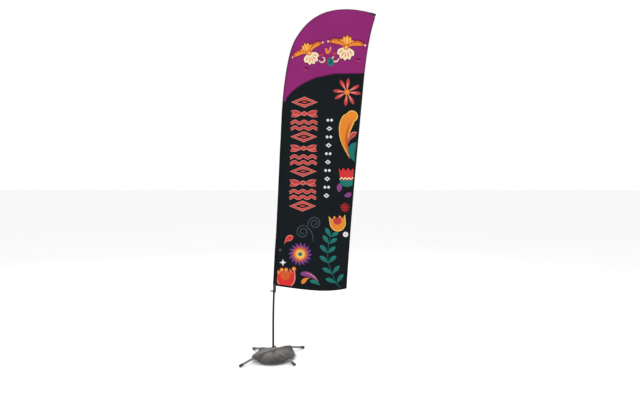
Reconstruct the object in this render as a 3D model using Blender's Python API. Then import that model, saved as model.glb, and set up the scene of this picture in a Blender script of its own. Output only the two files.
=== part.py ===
"""Sail-shaped feather flag on a curved four-piece pole, turning on a folding cross base under a water bag.

Metres, +Z up. The cloth lies in the XZ plane with its free edge towards +X. Everything is modelled around
the pole's axis at x = y = 0, then the whole model is moved so that its box stands centred on the origin.
"""

import math

import bmesh
import bpy
from mathutils import Matrix, Vector

# ---- clearances and facets -------------------------------------------------------------------------------
GAP = 0.0003  # between pieces that touch
EDGE_BREAK = 0.001  # bevel on turned edges
SIDES = 16  # facets round every pole and tube
TURN_SIDES = 28  # facets round turned pieces

# ---- pole centre line: (x, z, lean from vertical in degrees, handle before, handle after) ----------------
POLE_FOOT_LEAN_START = 0.30
POLE_KNOTS = [
    (0.000, POLE_FOOT_LEAN_START, 0.0, 0.10, 0.35),
    (0.035, 1.20, 3.3, 0.30, 0.40),
    (0.096, 2.50, 2.8, 0.40, 0.27),
    (0.247, 3.300, 33.0, 0.17, 0.18),
    (0.755, 3.582, 90.0, 0.28, 0.11),
    (1.0485, 3.5350, 106.0, 0.08, 0.0),
]
CURVE_STEPS = 60
POLE_FACET_TURN = 5.0  # most degrees between two stations of a piece
POLE_FACET_STEP = 0.16
STATION_MARGIN = 0.004  # no station this close to either end of a piece
EDGE_FACET_TURN = 2.5

# ---- pole sections ---------------------------------------------------------------------------------------
SPINDLE_RADIUS = 0.0075  # the pin that the pole turns on
BUSH_CLEARANCE = 0.0005
BUSH_WALL = 0.0012
BASE_WALL = 0.0015
BASE_RADIUS = SPINDLE_RADIUS + BUSH_CLEARANCE + BUSH_WALL + GAP + BASE_WALL
MID_WALL = 0.0014
UPPER_WALL = 0.0020
TIP_END_RADIUS = 0.0028
SECTION_LENGTH = 1.03
PLUG_DEPTH = 0.06
FERRULE_LENGTH = 0.035
FERRULE_WALL = 0.0006
TIP_CAP_WALL = 0.0013
TIP_CAP_DEPTH = 0.012

# ---- cloth -----------------------------------------------------------------------------------------------
CLOTH_FOOT_Z = 0.740  # lower end of the sleeve
FLY_TOP = (1.061, 3.534, 198.5)  # x, z, heading in degrees from vertical
FLY_WAIST = (0.925, 2.748, 185.3)
FLY_FOOT = (0.757, 0.7086, 183.2)
FLY_HANDLES = (0.26, 0.30, 0.70, 0.70)
FOOT_START_LEAN = 98.5
FOOT_END_LEAN = 79.0
FOOT_HANDLES = (0.42, 0.20)
PANEL_THICKNESS = 0.0005
LINER_THICKNESS = 0.0004
LAYER_GAP = 0.0003
SLEEVE_WALL = 0.0008
SLEEVE_EASE = 0.0004  # between the widest ring on the pole and the sleeve
SLEEVE_EASE_START = 0.002  # past a joint, where the sleeve starts to narrow
SLEEVE_EASE_LENGTH = 0.08  # past a joint, where it has narrowed
SLEEVE_STATION_GAP = 0.006  # least between two stations of the sleeve
SLEEVE_TAIL = 0.014  # flat seam past the round of the sleeve
PANEL_BITE = 0.004  # the panels' edge behind the sleeve's round
HEM_EDGE = 0.0008
HEM_WALL = 0.0008
FLY_HEM_WIDTH = 0.018
FOOT_HEM_WIDTH = 0.020
POCKET_LENGTH = 0.050
POCKET_WALL = 0.0012
POCKET_REACH = 0.009  # past the end of the pole
CORNER_CUT = 0.031  # the layers' corner is cut back inside the pocket
PANEL_TIP_CUT = 0.002  # short of the end of the pole
PANEL_FLY_CUT = 0.020  # the foot edge stops short of the free edge's end
FOOT_CLEAR = 0.004  # first point of the foot edge past the panels' sewn edge
HEM_CLEAR = 0.001  # between the sleeve's tail and the foot hem
FOOT_SEARCH_STEPS = 200

# ---- cross base ------------------------------------------------------------------------------------------
TUBE_RADIUS = 0.011
TUBE_WALL = 0.0016
LOWER_BAR_Z = 0.042
BAR_SPACER = 0.003
UPPER_BAR_Z = LOWER_BAR_Z + 2 * TUBE_RADIUS + BAR_SPACER
UPPER_AZIMUTH = 43.3
CROSS_ANGLE = 90.0
UPPER_REACH = 0.421
LOWER_REACH = 0.341
UPPER_FLAT = 0.190
LOWER_FLAT = 0.220
KNEE_BLEND = 0.030
FOOT_RADIUS = TUBE_RADIUS + 0.003
FOOT_CUT = 0.0018  # sliced off the foot so that it stands flat
LEG_END_Z = FOOT_RADIUS - FOOT_CUT
FOOT_LENGTH = 0.038
FOOT_END_WALL = 0.004
BOLT_RADIUS = 0.004
BOLT_HEAD_RADIUS = 1.8 * BOLT_RADIUS
BOLT_HEAD_HEIGHT = 0.0053
WASHER_RADIUS = BOLT_RADIUS + 0.0065
WASHER_THICKNESS = 0.0016
NUT_RADIUS = BOLT_RADIUS + 0.0035
NUT_HEIGHT = 2 * BOLT_RADIUS
BOLT_TAIL = 0.0015
SADDLE_HALF_LENGTH = 0.0165
SADDLE_THICKNESS = 0.0025
SADDLE_SKIRT = 0.004  # below the tube's centre

# ---- bearing hub and spindle -----------------------------------------------------------------------------
BEARING_RADIUS = 0.016
HUB_RADIUS = BEARING_RADIUS + 0.003
HUB_FLOOR = 0.0025
BEARING_WIDTH = 0.009
RACE_WALL = 0.0025
BALL_COUNT = 8
HUB_SHOULDER_RADIUS = BEARING_RADIUS - 0.003
HEAD_ROOM = 0.0010
HUB_RIM = 0.0015
SPINDLE_FLANGE_RADIUS = SPINDLE_RADIUS + 0.003
SPINDLE_FLANGE = 0.0037
SPINDLE_LENGTH = 0.29
BUSH_LENGTH = 0.030
GUIDE_HEIGHT = 0.200  # of the upper guide above the foot of the pole
BUSH_FLANGE = 0.0020

# ---- tether and clip -------------------------------------------------------------------------------------
CLIP_Z = 0.684
CLIP_HEIGHT = 0.018
CLIP_WALL = 0.0040
CLIP_CLEARANCE = 0.0006  # the collar slides on a bent pole
STRAP_WIDTH = 0.026
STRAP_THICKNESS = 0.0016
STRAP_OFFSET = 0.009  # of the strap's middle from the pole's axis
STRAP_TAIL = 0.003
STRAP_OVERLAP = 0.022  # sewn on the sleeve
KEEPER_WALL = 0.0020
LEVER_BOSS = 0.0048
LEVER_PIVOT = BASE_RADIUS + CLIP_WALL + LEVER_BOSS + 0.0007
LEVER_LENGTH = 0.0235
LEVER_HALF_HEIGHT = 0.0062
LEVER_HALF_WIDTH = 0.0055
LUG_WIDTH = 0.0028
PIN_RADIUS = 0.0016

# ---- water bag -------------------------------------------------------------------------------------------
BAG_RADIUS = 0.220
BAG_ALONG_BAR = 0.010  # pulled out along the upper bar
BAG_SLUMP = 0.018  # slumped towards BAG_SLUMP_AZIMUTH
BAG_SLUMP_AZIMUTH = -70.0
BAG_DEPTH_BIAS = 0.010  # longer front to back than side to side
BAG_HOLE = HUB_RADIUS + 0.0055
BAG_CROWN = 0.080
BAG_CROWN_POWER = 3.4
BAG_WELD_HEIGHT = 0.021  # of the weld between the bars, above the floor
BAG_TUCK = 0.76  # share of the way out where the underside starts to rise to the weld
BAG_FLOOR_GAP = 0.004
BAG_BAR_GAP = 0.0018
BAG_FLARE = 0.75  # fall of the underside beside a bar, per metre sideways
BAG_BAR_FLAT = 0.011
BAG_EDGE = 0.004
BAG_THIN = 0.004
BAG_SPOKES = 56
BAG_RINGS = (0.0, 0.16, 0.34, 0.52, 0.66, 0.76, 0.86, 0.94, 1.0)
SEAM_WIDTH = 0.008
SEAM_THICKNESS = 0.0026
TAB_AZIMUTH = 0.0
TAB_LENGTH = 0.016
TAB_WIDTH = 0.022
FILLER_AZIMUTH = 90.0
FILLER_REACH = 0.190
NECK_RADIUS = 0.0125
NECK_BORE = NECK_RADIUS - 0.0035
NECK_HEIGHT = 0.0100
NECK_FLANGE_RADIUS = NECK_RADIUS + 0.0085
NECK_FLANGE = 0.0018
CAP_RADIUS = NECK_RADIUS + 0.0045
CAP_TOP = 0.0018
GASKET = 0.0010

# ---- derived heights and radii ---------------------------------------------------------------------------
SADDLE_TOP = UPPER_BAR_Z + TUBE_RADIUS + GAP + SADDLE_THICKNESS
HUB_BOTTOM = SADDLE_TOP + GAP
HEAD_BOTTOM = HUB_BOTTOM + HUB_FLOOR + GAP
BEARING_BOTTOM = HEAD_BOTTOM + BOLT_HEAD_HEIGHT + HEAD_ROOM
BEARING_TOP = BEARING_BOTTOM + BEARING_WIDTH
HUB_TOP = BEARING_TOP + HUB_RIM
FLANGE_BOTTOM = BEARING_TOP + GAP
FLANGE_TOP = FLANGE_BOTTOM + SPINDLE_FLANGE
SPINDLE_TOP = FLANGE_TOP + SPINDLE_LENGTH
POLE_FOOT_Z = FLANGE_TOP + GAP + BUSH_FLANGE + GAP
BASE_BORE = BASE_RADIUS - BASE_WALL
MID_RADIUS = BASE_BORE - GAP
MID_BORE = MID_RADIUS - MID_WALL
UPPER_RADIUS = MID_BORE - GAP
UPPER_BORE = UPPER_RADIUS - UPPER_WALL
TIP_RADIUS = UPPER_BORE - GAP
RING_STAND = GAP + FERRULE_WALL + SLEEVE_EASE  # from a section's wall to the inside of the sleeve
STACK_INNER = LINER_THICKNESS / 2 + LAYER_GAP
STACK_HALF = STACK_INNER + PANEL_THICKNESS
SLOT_HALF = STACK_HALF + 0.0004  # half the slot that holds the layers
LOWER_AZIMUTH = UPPER_AZIMUTH + CROSS_ANGLE

MATERIALS = {
    "pole_alloy": ((0.035, 0.035, 0.036), 0.35, 0.6),
    "pole_fibre": ((0.028, 0.028, 0.030), 0.45, 0.0),
    "steel": ((0.50, 0.49, 0.47), 0.35, 1.0),
    "zinc": ((0.36, 0.34, 0.33), 0.35, 1.0),
    "leg_paint": ((0.10, 0.10, 0.10), 0.50, 0.3),
    "rubber": ((0.02, 0.02, 0.02), 0.80, 0.0),
    "plastic": ((0.012, 0.012, 0.013), 0.50, 0.0),
    "webbing": ((0.012, 0.012, 0.014), 0.90, 0.0),
    "print": ((0.012, 0.016, 0.022), 0.80, 0.0),
    "lining": ((0.010, 0.010, 0.010), 0.90, 0.0),
    "bag": ((0.17, 0.155, 0.145), 0.60, 0.0),
    "bag_trim": ((0.06, 0.055, 0.050), 0.60, 0.0),
}


# ---- small tools -----------------------------------------------------------------------------------------
def clear_scene():
    for obj in list(bpy.data.objects):
        bpy.data.objects.remove(obj, do_unlink=True)


def material(name):
    made = bpy.data.materials.get(name)
    if made is None:
        colour, roughness, metallic = MATERIALS[name]
        made = bpy.data.materials.new(name)
        made.use_nodes = True
        shader = made.node_tree.nodes["Principled BSDF"]
        shader.inputs["Base Color"].default_value = (*colour, 1.0)
        shader.inputs["Roughness"].default_value = roughness
        shader.inputs["Metallic"].default_value = metallic
        made.diffuse_color = (*colour, 1.0)
    return made


def add_piece(name, verts, faces, finish, parent, at=None):
    """Makes one named object from points and faces, facing outwards; `at` places it under its parent."""
    mesh = bpy.data.meshes.new(name)
    mesh.from_pydata([tuple(v) for v in verts], [], faces)
    bm = bmesh.new()
    bm.from_mesh(mesh)
    bmesh.ops.recalc_face_normals(bm, faces=bm.faces)
    bm.to_mesh(mesh)
    bm.free()
    mesh.materials.append(material(finish))
    obj = bpy.data.objects.new(name, mesh)
    bpy.context.collection.objects.link(obj)
    obj.parent = parent
    if at is not None:
        obj.matrix_local = at
    mesh.shade_smooth()
    mesh.set_sharp_from_angle(angle=math.radians(35))
    return obj


def add_empty(name, parent=None, at=(0.0, 0.0, 0.0)):
    empty = bpy.data.objects.new(name, None)
    bpy.context.collection.objects.link(empty)
    empty.parent = parent
    empty.location = at
    return empty


def cut(obj, cutter, operation="DIFFERENCE"):
    """Boolean with a helper solid that the build leaves out."""
    cutter.hide_render = True
    cutter.display_type = "WIRE"
    modifier = obj.modifiers.new(operation.lower(), "BOOLEAN")
    modifier.operation = operation
    modifier.object = cutter
    modifier.solver = "EXACT"


def loft(rings):
    """Points and faces of a solid through equal rings, with flat ends."""
    count = len(rings[0])
    verts = [p for ring in rings for p in ring]
    faces = []
    for k in range(len(rings) - 1):
        for i in range(count):
            j = (i + 1) % count
            a, b = k * count, (k + 1) * count
            faces.append((a + i, a + j, b + j, b + i))
    faces.append(tuple(range(count)))
    faces.append(tuple(range((len(rings) - 1) * count, len(rings) * count)))
    return verts, faces


def loft_tube(outer, inner):
    """Points and faces of an open tube between two stacks of equal rings."""
    count = len(outer[0])
    stack = list(outer) + list(reversed(inner))
    verts = [p for ring in stack for p in ring]
    faces = []
    for k in range(len(stack)):
        a, b = k * count, ((k + 1) % len(stack)) * count
        for i in range(count):
            j = (i + 1) % count
            faces.append((a + i, a + j, b + j, b + i))
    return verts, faces


def circle(radius, sides=SIDES):
    step = 2 * math.pi / sides
    return [(radius * math.cos(i * step), radius * math.sin(i * step)) for i in range(sides)]


def turned(profile, sides=TURN_SIDES):
    """A closed ring turned about Z from a closed (radius, height) outline that stays off the axis."""
    step = 2 * math.pi / sides
    verts = []
    for i in range(sides):
        c, s = math.cos(i * step), math.sin(i * step)
        verts += [Vector((r * c, r * s, z)) for r, z in profile]
    count = len(profile)
    faces = []
    for i in range(sides):
        a, b = i * count, ((i + 1) % sides) * count
        for k in range(count):
            n = (k + 1) % count
            faces.append((a + k, b + k, b + n, a + n))
    return verts, faces


def turned_solid(profile, sides=TURN_SIDES):
    """A solid bar turned about Z from (radius, height) points, bottom to top."""
    return loft([[Vector((x, y, z)) for x, y in circle(r, sides)] for r, z in profile])


def plate(outline, y_near, y_far):
    """A flat sheet in the XZ plane with the given outline."""
    return loft([[Vector((x, y, z)) for x, z in outline] for y in (y_near, y_far)])


def box(low, high):
    corners = [(low[0], low[1]), (high[0], low[1]), (high[0], high[1]), (low[0], high[1])]
    return loft([[Vector((x, y, z)) for x, y in corners] for z in (low[2], high[2])])


# ---- curves in the XZ plane ------------------------------------------------------------------------------
def heading(degrees):
    """Unit step that leans from +Z towards +X."""
    angle = math.radians(degrees)
    return Vector((math.sin(angle), math.cos(angle)))


def bezier(start, start_heading, start_handle, end, end_heading, end_handle, steps=CURVE_STEPS):
    p0, p3 = Vector(start), Vector(end)
    p1 = p0 + start_handle * heading(start_heading)
    p2 = p3 - end_handle * heading(end_heading)
    points = []
    for i in range(steps + 1):
        t = i / steps
        w = 1 - t
        points.append(w**3 * p0 + 3 * w * w * t * p1 + 3 * w * t * t * p2 + t**3 * p3)
    return points


def thinned(points, turn, step):
    """Fewer points on a curve: a new one wherever it has turned or run on far enough."""
    kept = [points[0]]
    since = (points[1] - points[0]).normalized()
    for before, point, after in zip(points, points[1:], points[2:]):
        ahead = (after - point).normalized()
        if since.angle(ahead) >= math.radians(turn) or (after - kept[-1]).length > step:
            kept.append(point)
            since = ahead
    return kept + [points[-1]]


class Path:
    """A plane curve through points, read by the length along it. Every piece on it shares its points."""

    def __init__(self, points, turn, step):
        points = thinned(points, turn, step)
        self.points = points
        self.lengths = [0.0]
        for a, b in zip(points, points[1:]):
            self.lengths.append(self.lengths[-1] + (b - a).length)
        self.total = self.lengths[-1]

    def at(self, length):
        """Point and unit tangent; past either end the curve runs on straight."""
        inner = min(max(length, 0.0), self.total)
        k = 0
        while k < len(self.points) - 2 and self.lengths[k + 1] < inner:
            k += 1
        a, b = self.points[k], self.points[k + 1]
        share = (inner - self.lengths[k]) / (self.lengths[k + 1] - self.lengths[k])
        before = self.points[max(k - 1, 0)]
        after = self.points[min(k + 2, len(self.points) - 1)]
        tangent = ((b - before).normalized() * (1 - share) + (after - a).normalized() * share).normalized()
        return a + share * (b - a) + (length - inner) * tangent, tangent

    def stations(self, start, end):
        """Lengths of the curve's own points between two places, with both ends."""
        first, last = start + STATION_MARGIN, end - STATION_MARGIN
        return [start, *(s for s in self.lengths if first < s < last), end]

    def length_at_height(self, height):
        """Length along a rising stretch where it reaches a height."""
        for k in range(len(self.points) - 1):
            a, b = self.points[k], self.points[k + 1]
            if a.y <= height <= b.y:
                share = (height - a.y) / (b.y - a.y)
                return self.lengths[k] + share * (self.lengths[k + 1] - self.lengths[k])
        return self.total


def pole_path():
    points = [Vector((0.0, POLE_FOOT_Z)), Vector((0.0, (POLE_FOOT_Z + POLE_FOOT_LEAN_START) / 2))]
    points.append(Vector((0.0, POLE_FOOT_LEAN_START)))
    for (x0, z0, lean0, _, out), (x1, z1, lean1, back, _) in zip(POLE_KNOTS, POLE_KNOTS[1:]):
        points += bezier((x0, z0), lean0, out, (x1, z1), lean1, back)[1:]
    return Path(points, POLE_FACET_TURN, POLE_FACET_STEP)


POLE = pole_path()
CLOTH_START = POLE.length_at_height(CLOTH_FOOT_Z)
CLIP_AT = POLE.length_at_height(CLIP_Z)
JOINTS = [SECTION_LENGTH, 2 * SECTION_LENGTH, 3 * SECTION_LENGTH]


def section_ring(path, length, loop):
    """A (across, y) loop set square to the curve; across points to the cloth's side."""
    point, tangent = path.at(length)
    across = Vector((tangent.y, -tangent.x))
    ring = []
    for u, v in loop:
        spot = point + u * across
        ring.append(Vector((spot.x, v, spot.y)))
    return ring


def spaced(start, end, count):
    return [start + (end - start) * i / (count - 1) for i in range(count)]


def local_frame(length):
    """Matrix at a place on the pole: X across to the cloth, Y through it, Z up the pole."""
    point, tangent = POLE.at(length)
    rotation = Matrix(((tangent.y, 0, tangent.x), (0, 1, 0), (-tangent.x, 0, tangent.y))).to_4x4()
    return Matrix.Translation((point.x, 0.0, point.y)) @ rotation


# ---- pole ------------------------------------------------------------------------------------------------
def pole_tube(name, start, end, radius, bore, finish, parent):
    lengths = POLE.stations(start, end)
    outer = [section_ring(POLE, s, circle(radius)) for s in lengths]
    inner = [section_ring(POLE, s, circle(bore)) for s in lengths]
    add_piece(name, *loft_tube(outer, inner), finish, parent)


def make_pole(parent):
    first, second, third = JOINTS
    pole_tube("pole_base_section", 0.0, first, BASE_RADIUS, BASE_BORE, "pole_alloy", parent)
    pole_tube("pole_mid_section", first - PLUG_DEPTH, second, MID_RADIUS, MID_BORE, "pole_alloy", parent)
    start = second - PLUG_DEPTH
    pole_tube("pole_upper_section", start, third, UPPER_RADIUS, UPPER_BORE, "pole_fibre", parent)
    rings = []
    for s in POLE.stations(third - PLUG_DEPTH, POLE.total):
        share = max(0.0, (s - third) / (POLE.total - third))
        rings.append(section_ring(POLE, s, circle(TIP_RADIUS + (TIP_END_RADIUS - TIP_RADIUS) * share)))
    add_piece("pole_tip_section", *loft(rings), "pole_fibre", parent)
    wall = GAP + FERRULE_WALL
    for name, end, radius in (
        ("ferrule_lower", first, BASE_RADIUS),
        ("ferrule_middle", second, MID_RADIUS),
        ("ferrule_upper", third, UPPER_RADIUS),
    ):
        pole_tube(name, end - FERRULE_LENGTH, end, radius + wall, radius + GAP, "zinc", parent)
    make_tip_cap(parent)
    bush = [
        (SPINDLE_RADIUS + BUSH_CLEARANCE, 0.0),
        (BASE_RADIUS, 0.0),
        (BASE_RADIUS, BUSH_FLANGE),
        (BASE_BORE - GAP, BUSH_FLANGE),
        (BASE_BORE - GAP, BUSH_LENGTH),
        (SPINDLE_RADIUS + BUSH_CLEARANCE, BUSH_LENGTH),
    ]
    at = Matrix.Translation((0, 0, FLANGE_TOP + GAP))
    add_piece("pole_bottom_bush", *turned(bush, SIDES), "plastic", parent, at)
    low, high = POLE_FOOT_Z + GUIDE_HEIGHT, POLE_FOOT_Z + GUIDE_HEIGHT + BUSH_LENGTH
    bore = SPINDLE_RADIUS + BUSH_CLEARANCE
    ring(parent, "pole_guide_bush", bore, BASE_BORE - GAP, low, high, "plastic")


def make_tip_cap(parent):
    """A rounded cup over the thin end of the pole."""
    end = POLE.total
    bore = TIP_END_RADIUS + 2 * GAP
    wall = bore + TIP_CAP_WALL
    seat = end + GAP
    outer = [(end - TIP_CAP_DEPTH, wall), (seat, wall), (seat + 0.6 * TIP_CAP_WALL, 0.8 * wall)]
    inner = [(end - TIP_CAP_DEPTH, bore), (seat, bore)]
    stack = [section_ring(POLE, s, circle(r)) for s, r in list(reversed(inner)) + outer]
    add_piece("pole_tip_cap", *loft(stack), "rubber", parent)


# ---- cloth -----------------------------------------------------------------------------------------------
def sleeve_stations(start, end):
    """The pole's own stations, and those where the sleeve starts or stops easing in."""
    places = POLE.stations(start, end)
    for joint in JOINTS:
        for place in (joint + SLEEVE_EASE_START, joint + SLEEVE_EASE_LENGTH):
            if min(abs(place - s) for s in places) > SLEEVE_STATION_GAP and start < place < end:
                places.append(place)
            elif start < place < end:
                near = min(places[1:-1], key=lambda s: abs(place - s))
                places[places.index(near)] = place
    return sorted(places)


def sleeve_bore(length):
    """Inside radius of the sleeve: each section's own, easing in just past each joint."""
    first, second, third = (joint + SLEEVE_EASE_START for joint in JOINTS)
    ease = SLEEVE_EASE_LENGTH - SLEEVE_EASE_START
    tip = (POLE.total, TIP_END_RADIUS)
    steps = [
        (0.0, BASE_RADIUS),
        (first, BASE_RADIUS),
        (first + ease, MID_RADIUS),
        (second, MID_RADIUS),
        (second + ease, UPPER_RADIUS),
        (third, UPPER_RADIUS),
        (third + ease, TIP_RADIUS),
        tip,
    ]
    for (s0, r0), (s1, r1) in zip(steps, steps[1:]):
        if length <= s1:
            return r0 + (r1 - r0) * max(0.0, length - s0) / (s1 - s0) + RING_STAND
    return tip[1] + RING_STAND


def sleeve_loop(bore, wall, slot, tail):
    """A drop-shaped loop of cloth, open at its tail where the panels are sewn in."""
    outer_radius = bore + wall
    arc_step = 24
    arc = [math.radians(a) for a in range(60, 301, arc_step)]
    clear = 1 / math.cos(math.radians(arc_step / 2))
    outer = [(clear * outer_radius * math.cos(a), clear * outer_radius * math.sin(a)) for a in arc]
    inner = [(clear * bore * math.cos(a), clear * bore * math.sin(a)) for a in arc]
    reach = outer_radius + tail
    bend = outer_radius + 0.4 * tail
    outside = slot + wall
    loop = [(reach, outside), (bend, outside + 0.15 * bore), *outer, (bend, -outside - 0.15 * bore)]
    loop += [(reach, -outside), (reach, -slot), (bend, -slot - 0.15 * bore), *reversed(inner)]
    return loop + [(bend, slot + 0.15 * bore), (reach, slot)]


def edge_paths():
    """Outer edges of the cloth: down the free edge, and along the foot to the free edge's end."""
    head, waist, foot = FLY_TOP, FLY_WAIST, FLY_FOOT
    h0, h1, h2, h3 = FLY_HANDLES
    fly = bezier(head[:2], head[2], h0, waist[:2], waist[2], h1)
    fly += bezier(waist[:2], waist[2], h2, foot[:2], foot[2], h3)[1:]
    start, _ = POLE.at(CLOTH_START)
    a, b = FOOT_HANDLES
    lower = bezier((start.x, start.y), FOOT_START_LEAN, a, foot[:2], FOOT_END_LEAN, b)
    return (
        Path(fly, EDGE_FACET_TURN, POLE_FACET_STEP),
        Path(lower, EDGE_FACET_TURN, POLE_FACET_STEP / 2),
    )


FLY_EDGE, FOOT_EDGE = edge_paths()


def inward(path, length, inset, side):
    point, tangent = path.at(length)
    return point + side * inset * Vector((tangent.y, -tangent.x))


def foot_edge_past(x):
    """Length along the foot edge where it passes a distance from the pole's axis."""
    lengths = spaced(0.0, FOOT_EDGE.total, FOOT_SEARCH_STEPS)
    return next(s for s in lengths if FOOT_EDGE.at(s)[0].x > x)


def panel_outline(edge_inset):
    """Outline of one layer, from the foot of the sleeve over the arch and down the free edge."""
    outline = []
    for s in POLE.stations(CLOTH_START, POLE.total - PANEL_TIP_CUT):
        point, tangent = POLE.at(s)
        across = Vector((tangent.y, -tangent.x))
        outline.append(point + (sleeve_bore(s) + PANEL_BITE) * across)
    for s in FLY_EDGE.stations(CORNER_CUT, FLY_EDGE.total):
        outline.append(inward(FLY_EDGE, s, edge_inset, 1))
    corner = outline.pop()
    outline.append(Vector((corner.x, corner.y + edge_inset)))
    first = foot_edge_past(outline[0].x + FOOT_CLEAR)
    for s in reversed(FOOT_EDGE.stations(first, FOOT_EDGE.total - PANEL_FLY_CUT)):
        outline.append(inward(FOOT_EDGE, s, edge_inset, -1))
    return [(p.x, p.y) for p in outline]


def hem_loop(width, side):
    """A strip folded over the edge: open side towards the cloth."""
    outer = SLOT_HALF + HEM_WALL
    loop = [(width, outer), (0, outer), (0, -outer), (width, -outer)]
    loop += [(width, -SLOT_HALF), (HEM_EDGE, -SLOT_HALF), (HEM_EDGE, SLOT_HALF), (width, SLOT_HALF)]
    return [(side * u, v) for u, v in loop]


def make_cloth(parent):
    edge_inset = HEM_EDGE + 2 * GAP
    outline = panel_outline(edge_inset)
    add_piece("flag_front_panel", *plate(outline, -STACK_HALF, -STACK_INNER), "print", parent)
    add_piece("flag_liner", *plate(outline, -LINER_THICKNESS / 2, LINER_THICKNESS / 2), "lining", parent)
    add_piece("flag_back_panel", *plate(outline, STACK_INNER, STACK_HALF), "print", parent)

    def drop(s):
        return sleeve_loop(sleeve_bore(s), SLEEVE_WALL, SLOT_HALF, SLEEVE_TAIL)

    stations = sleeve_stations(CLOTH_START, POLE.total - POCKET_LENGTH - GAP)
    rings = [section_ring(POLE, s, drop(s)) for s in stations]
    add_piece("pole_sleeve", *loft(rings), "print", parent)
    make_tip_pocket(parent)

    tail = sleeve_bore(CLOTH_START) + SLEEVE_WALL + SLEEVE_TAIL
    first = foot_edge_past(POLE.at(CLOTH_START)[0].x + tail + HEM_CLEAR)
    stations = FOOT_EDGE.stations(first, FOOT_EDGE.total - FLY_HEM_WIDTH - 2 * GAP)
    rings = [section_ring(FOOT_EDGE, s, hem_loop(FOOT_HEM_WIDTH, -1)) for s in stations]
    add_piece("bottom_hem", *loft(rings), "print", parent)
    stations = FLY_EDGE.stations(CORNER_CUT, FLY_EDGE.total)
    rings = [section_ring(FLY_EDGE, s, hem_loop(FLY_HEM_WIDTH, 1)) for s in stations]
    add_piece("fly_hem", *loft(rings), "print", parent)


def make_tip_pocket(parent):
    """The reinforced end of the sleeve, closed over the tip of the pole."""
    start = POLE.total - POCKET_LENGTH
    end = POLE.total + POCKET_REACH
    bore = TIP_END_RADIUS + 2 * GAP + TIP_CAP_WALL + SLEEVE_EASE
    loop = sleeve_loop(bore, POCKET_WALL, SLOT_HALF, SLEEVE_TAIL)
    rings = [section_ring(POLE, s, loop) for s in POLE.stations(start, end)]
    pocket = add_piece("tip_pocket", *loft(rings), "webbing", parent)
    half = len(loop) // 2
    outside = loop[:half]
    rings = [section_ring(POLE, s, outside) for s in (end - POCKET_WALL, end + POCKET_WALL / 2)]
    lid = add_piece("tip_pocket_lid", *loft(rings), "webbing", parent)
    cut(pocket, lid, "UNION")


# ---- tether and clip -------------------------------------------------------------------------------------
def strap_near_y():
    """The strap lies just in front of the sleeve."""
    return -(sleeve_bore(CLOTH_START) + SLEEVE_WALL + GAP)


def make_tether(parent):
    near = strap_near_y()
    low, high = STRAP_OFFSET - STRAP_WIDTH / 2, STRAP_OFFSET + STRAP_WIDTH / 2
    bottom = -CLIP_HEIGHT / 2 - STRAP_TAIL
    top = (CLOTH_START - CLIP_AT) + STRAP_OVERLAP
    solid = box((low, near - STRAP_THICKNESS, bottom), (high, near, top))
    add_piece("tether_strap", *solid, "webbing", parent, local_frame(CLIP_AT))


def helper(name, solid, parent, at):
    return add_piece(name, *solid, "plastic", parent, at)


def cylinder_y(radius, y_low, y_high, x, z, sides=SIDES):
    """A round bar along Y."""
    return loft([[Vector((x + u, y, z + v)) for u, v in circle(radius, sides)] for y in (y_low, y_high)])


def make_clip(parent):
    at = local_frame(CLIP_AT)
    half = CLIP_HEIGHT / 2
    bore = BASE_RADIUS + CLIP_CLEARANCE
    wall = BASE_RADIUS + CLIP_WALL
    ring = [(bore, -half), (wall, -half), (wall, half), (bore, half)]
    collar = add_piece("clip_collar", *turned(ring, 32), "plastic", parent, at)

    near = strap_near_y()
    slot_near, slot_far = near + GAP, near - STRAP_THICKNESS - GAP
    side = STRAP_WIDTH / 2 + GAP
    keeper_half = half * 0.7
    low = (STRAP_OFFSET - side - KEEPER_WALL, slot_far - KEEPER_WALL, -keeper_half)
    high = (STRAP_OFFSET + side + KEEPER_WALL, slot_near + KEEPER_WALL * 0.45, keeper_half)
    cut(collar, helper("keeper_block", box(low, high), parent, at), "UNION")
    lug_near, lug_far = LEVER_HALF_WIDTH + GAP, LEVER_HALF_WIDTH + GAP + LUG_WIDTH
    for number, sign in enumerate((1, -1)):
        y0, y1 = sorted((sign * lug_near, sign * lug_far))
        lug = box((-LEVER_PIVOT - LEVER_BOSS, y0, -LEVER_BOSS), (-wall * 0.75, y1, LEVER_BOSS))
        cut(collar, helper(f"lug_block_{number}", lug, parent, at), "UNION")
    slot = box((STRAP_OFFSET - side, slot_far, -half), (STRAP_OFFSET + side, slot_near, half))
    cut(collar, helper("strap_slot", slot, parent, at))
    pole_hole = turned_solid([(bore, -half - GAP), (bore, half + GAP)], 32)
    cut(collar, helper("pole_hole", pole_hole, parent, at))
    pin_hole = cylinder_y(PIN_RADIUS + GAP, -2 * lug_far, 2 * lug_far, -LEVER_PIVOT, 0, 12)
    cut(collar, helper("pin_hole", pin_hole, parent, at))

    pin = cylinder_y(PIN_RADIUS, -lug_far - GAP, lug_far + GAP, -LEVER_PIVOT, 0, 12)
    add_piece("lever_pin", *pin, "steel", parent, at)


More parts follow.
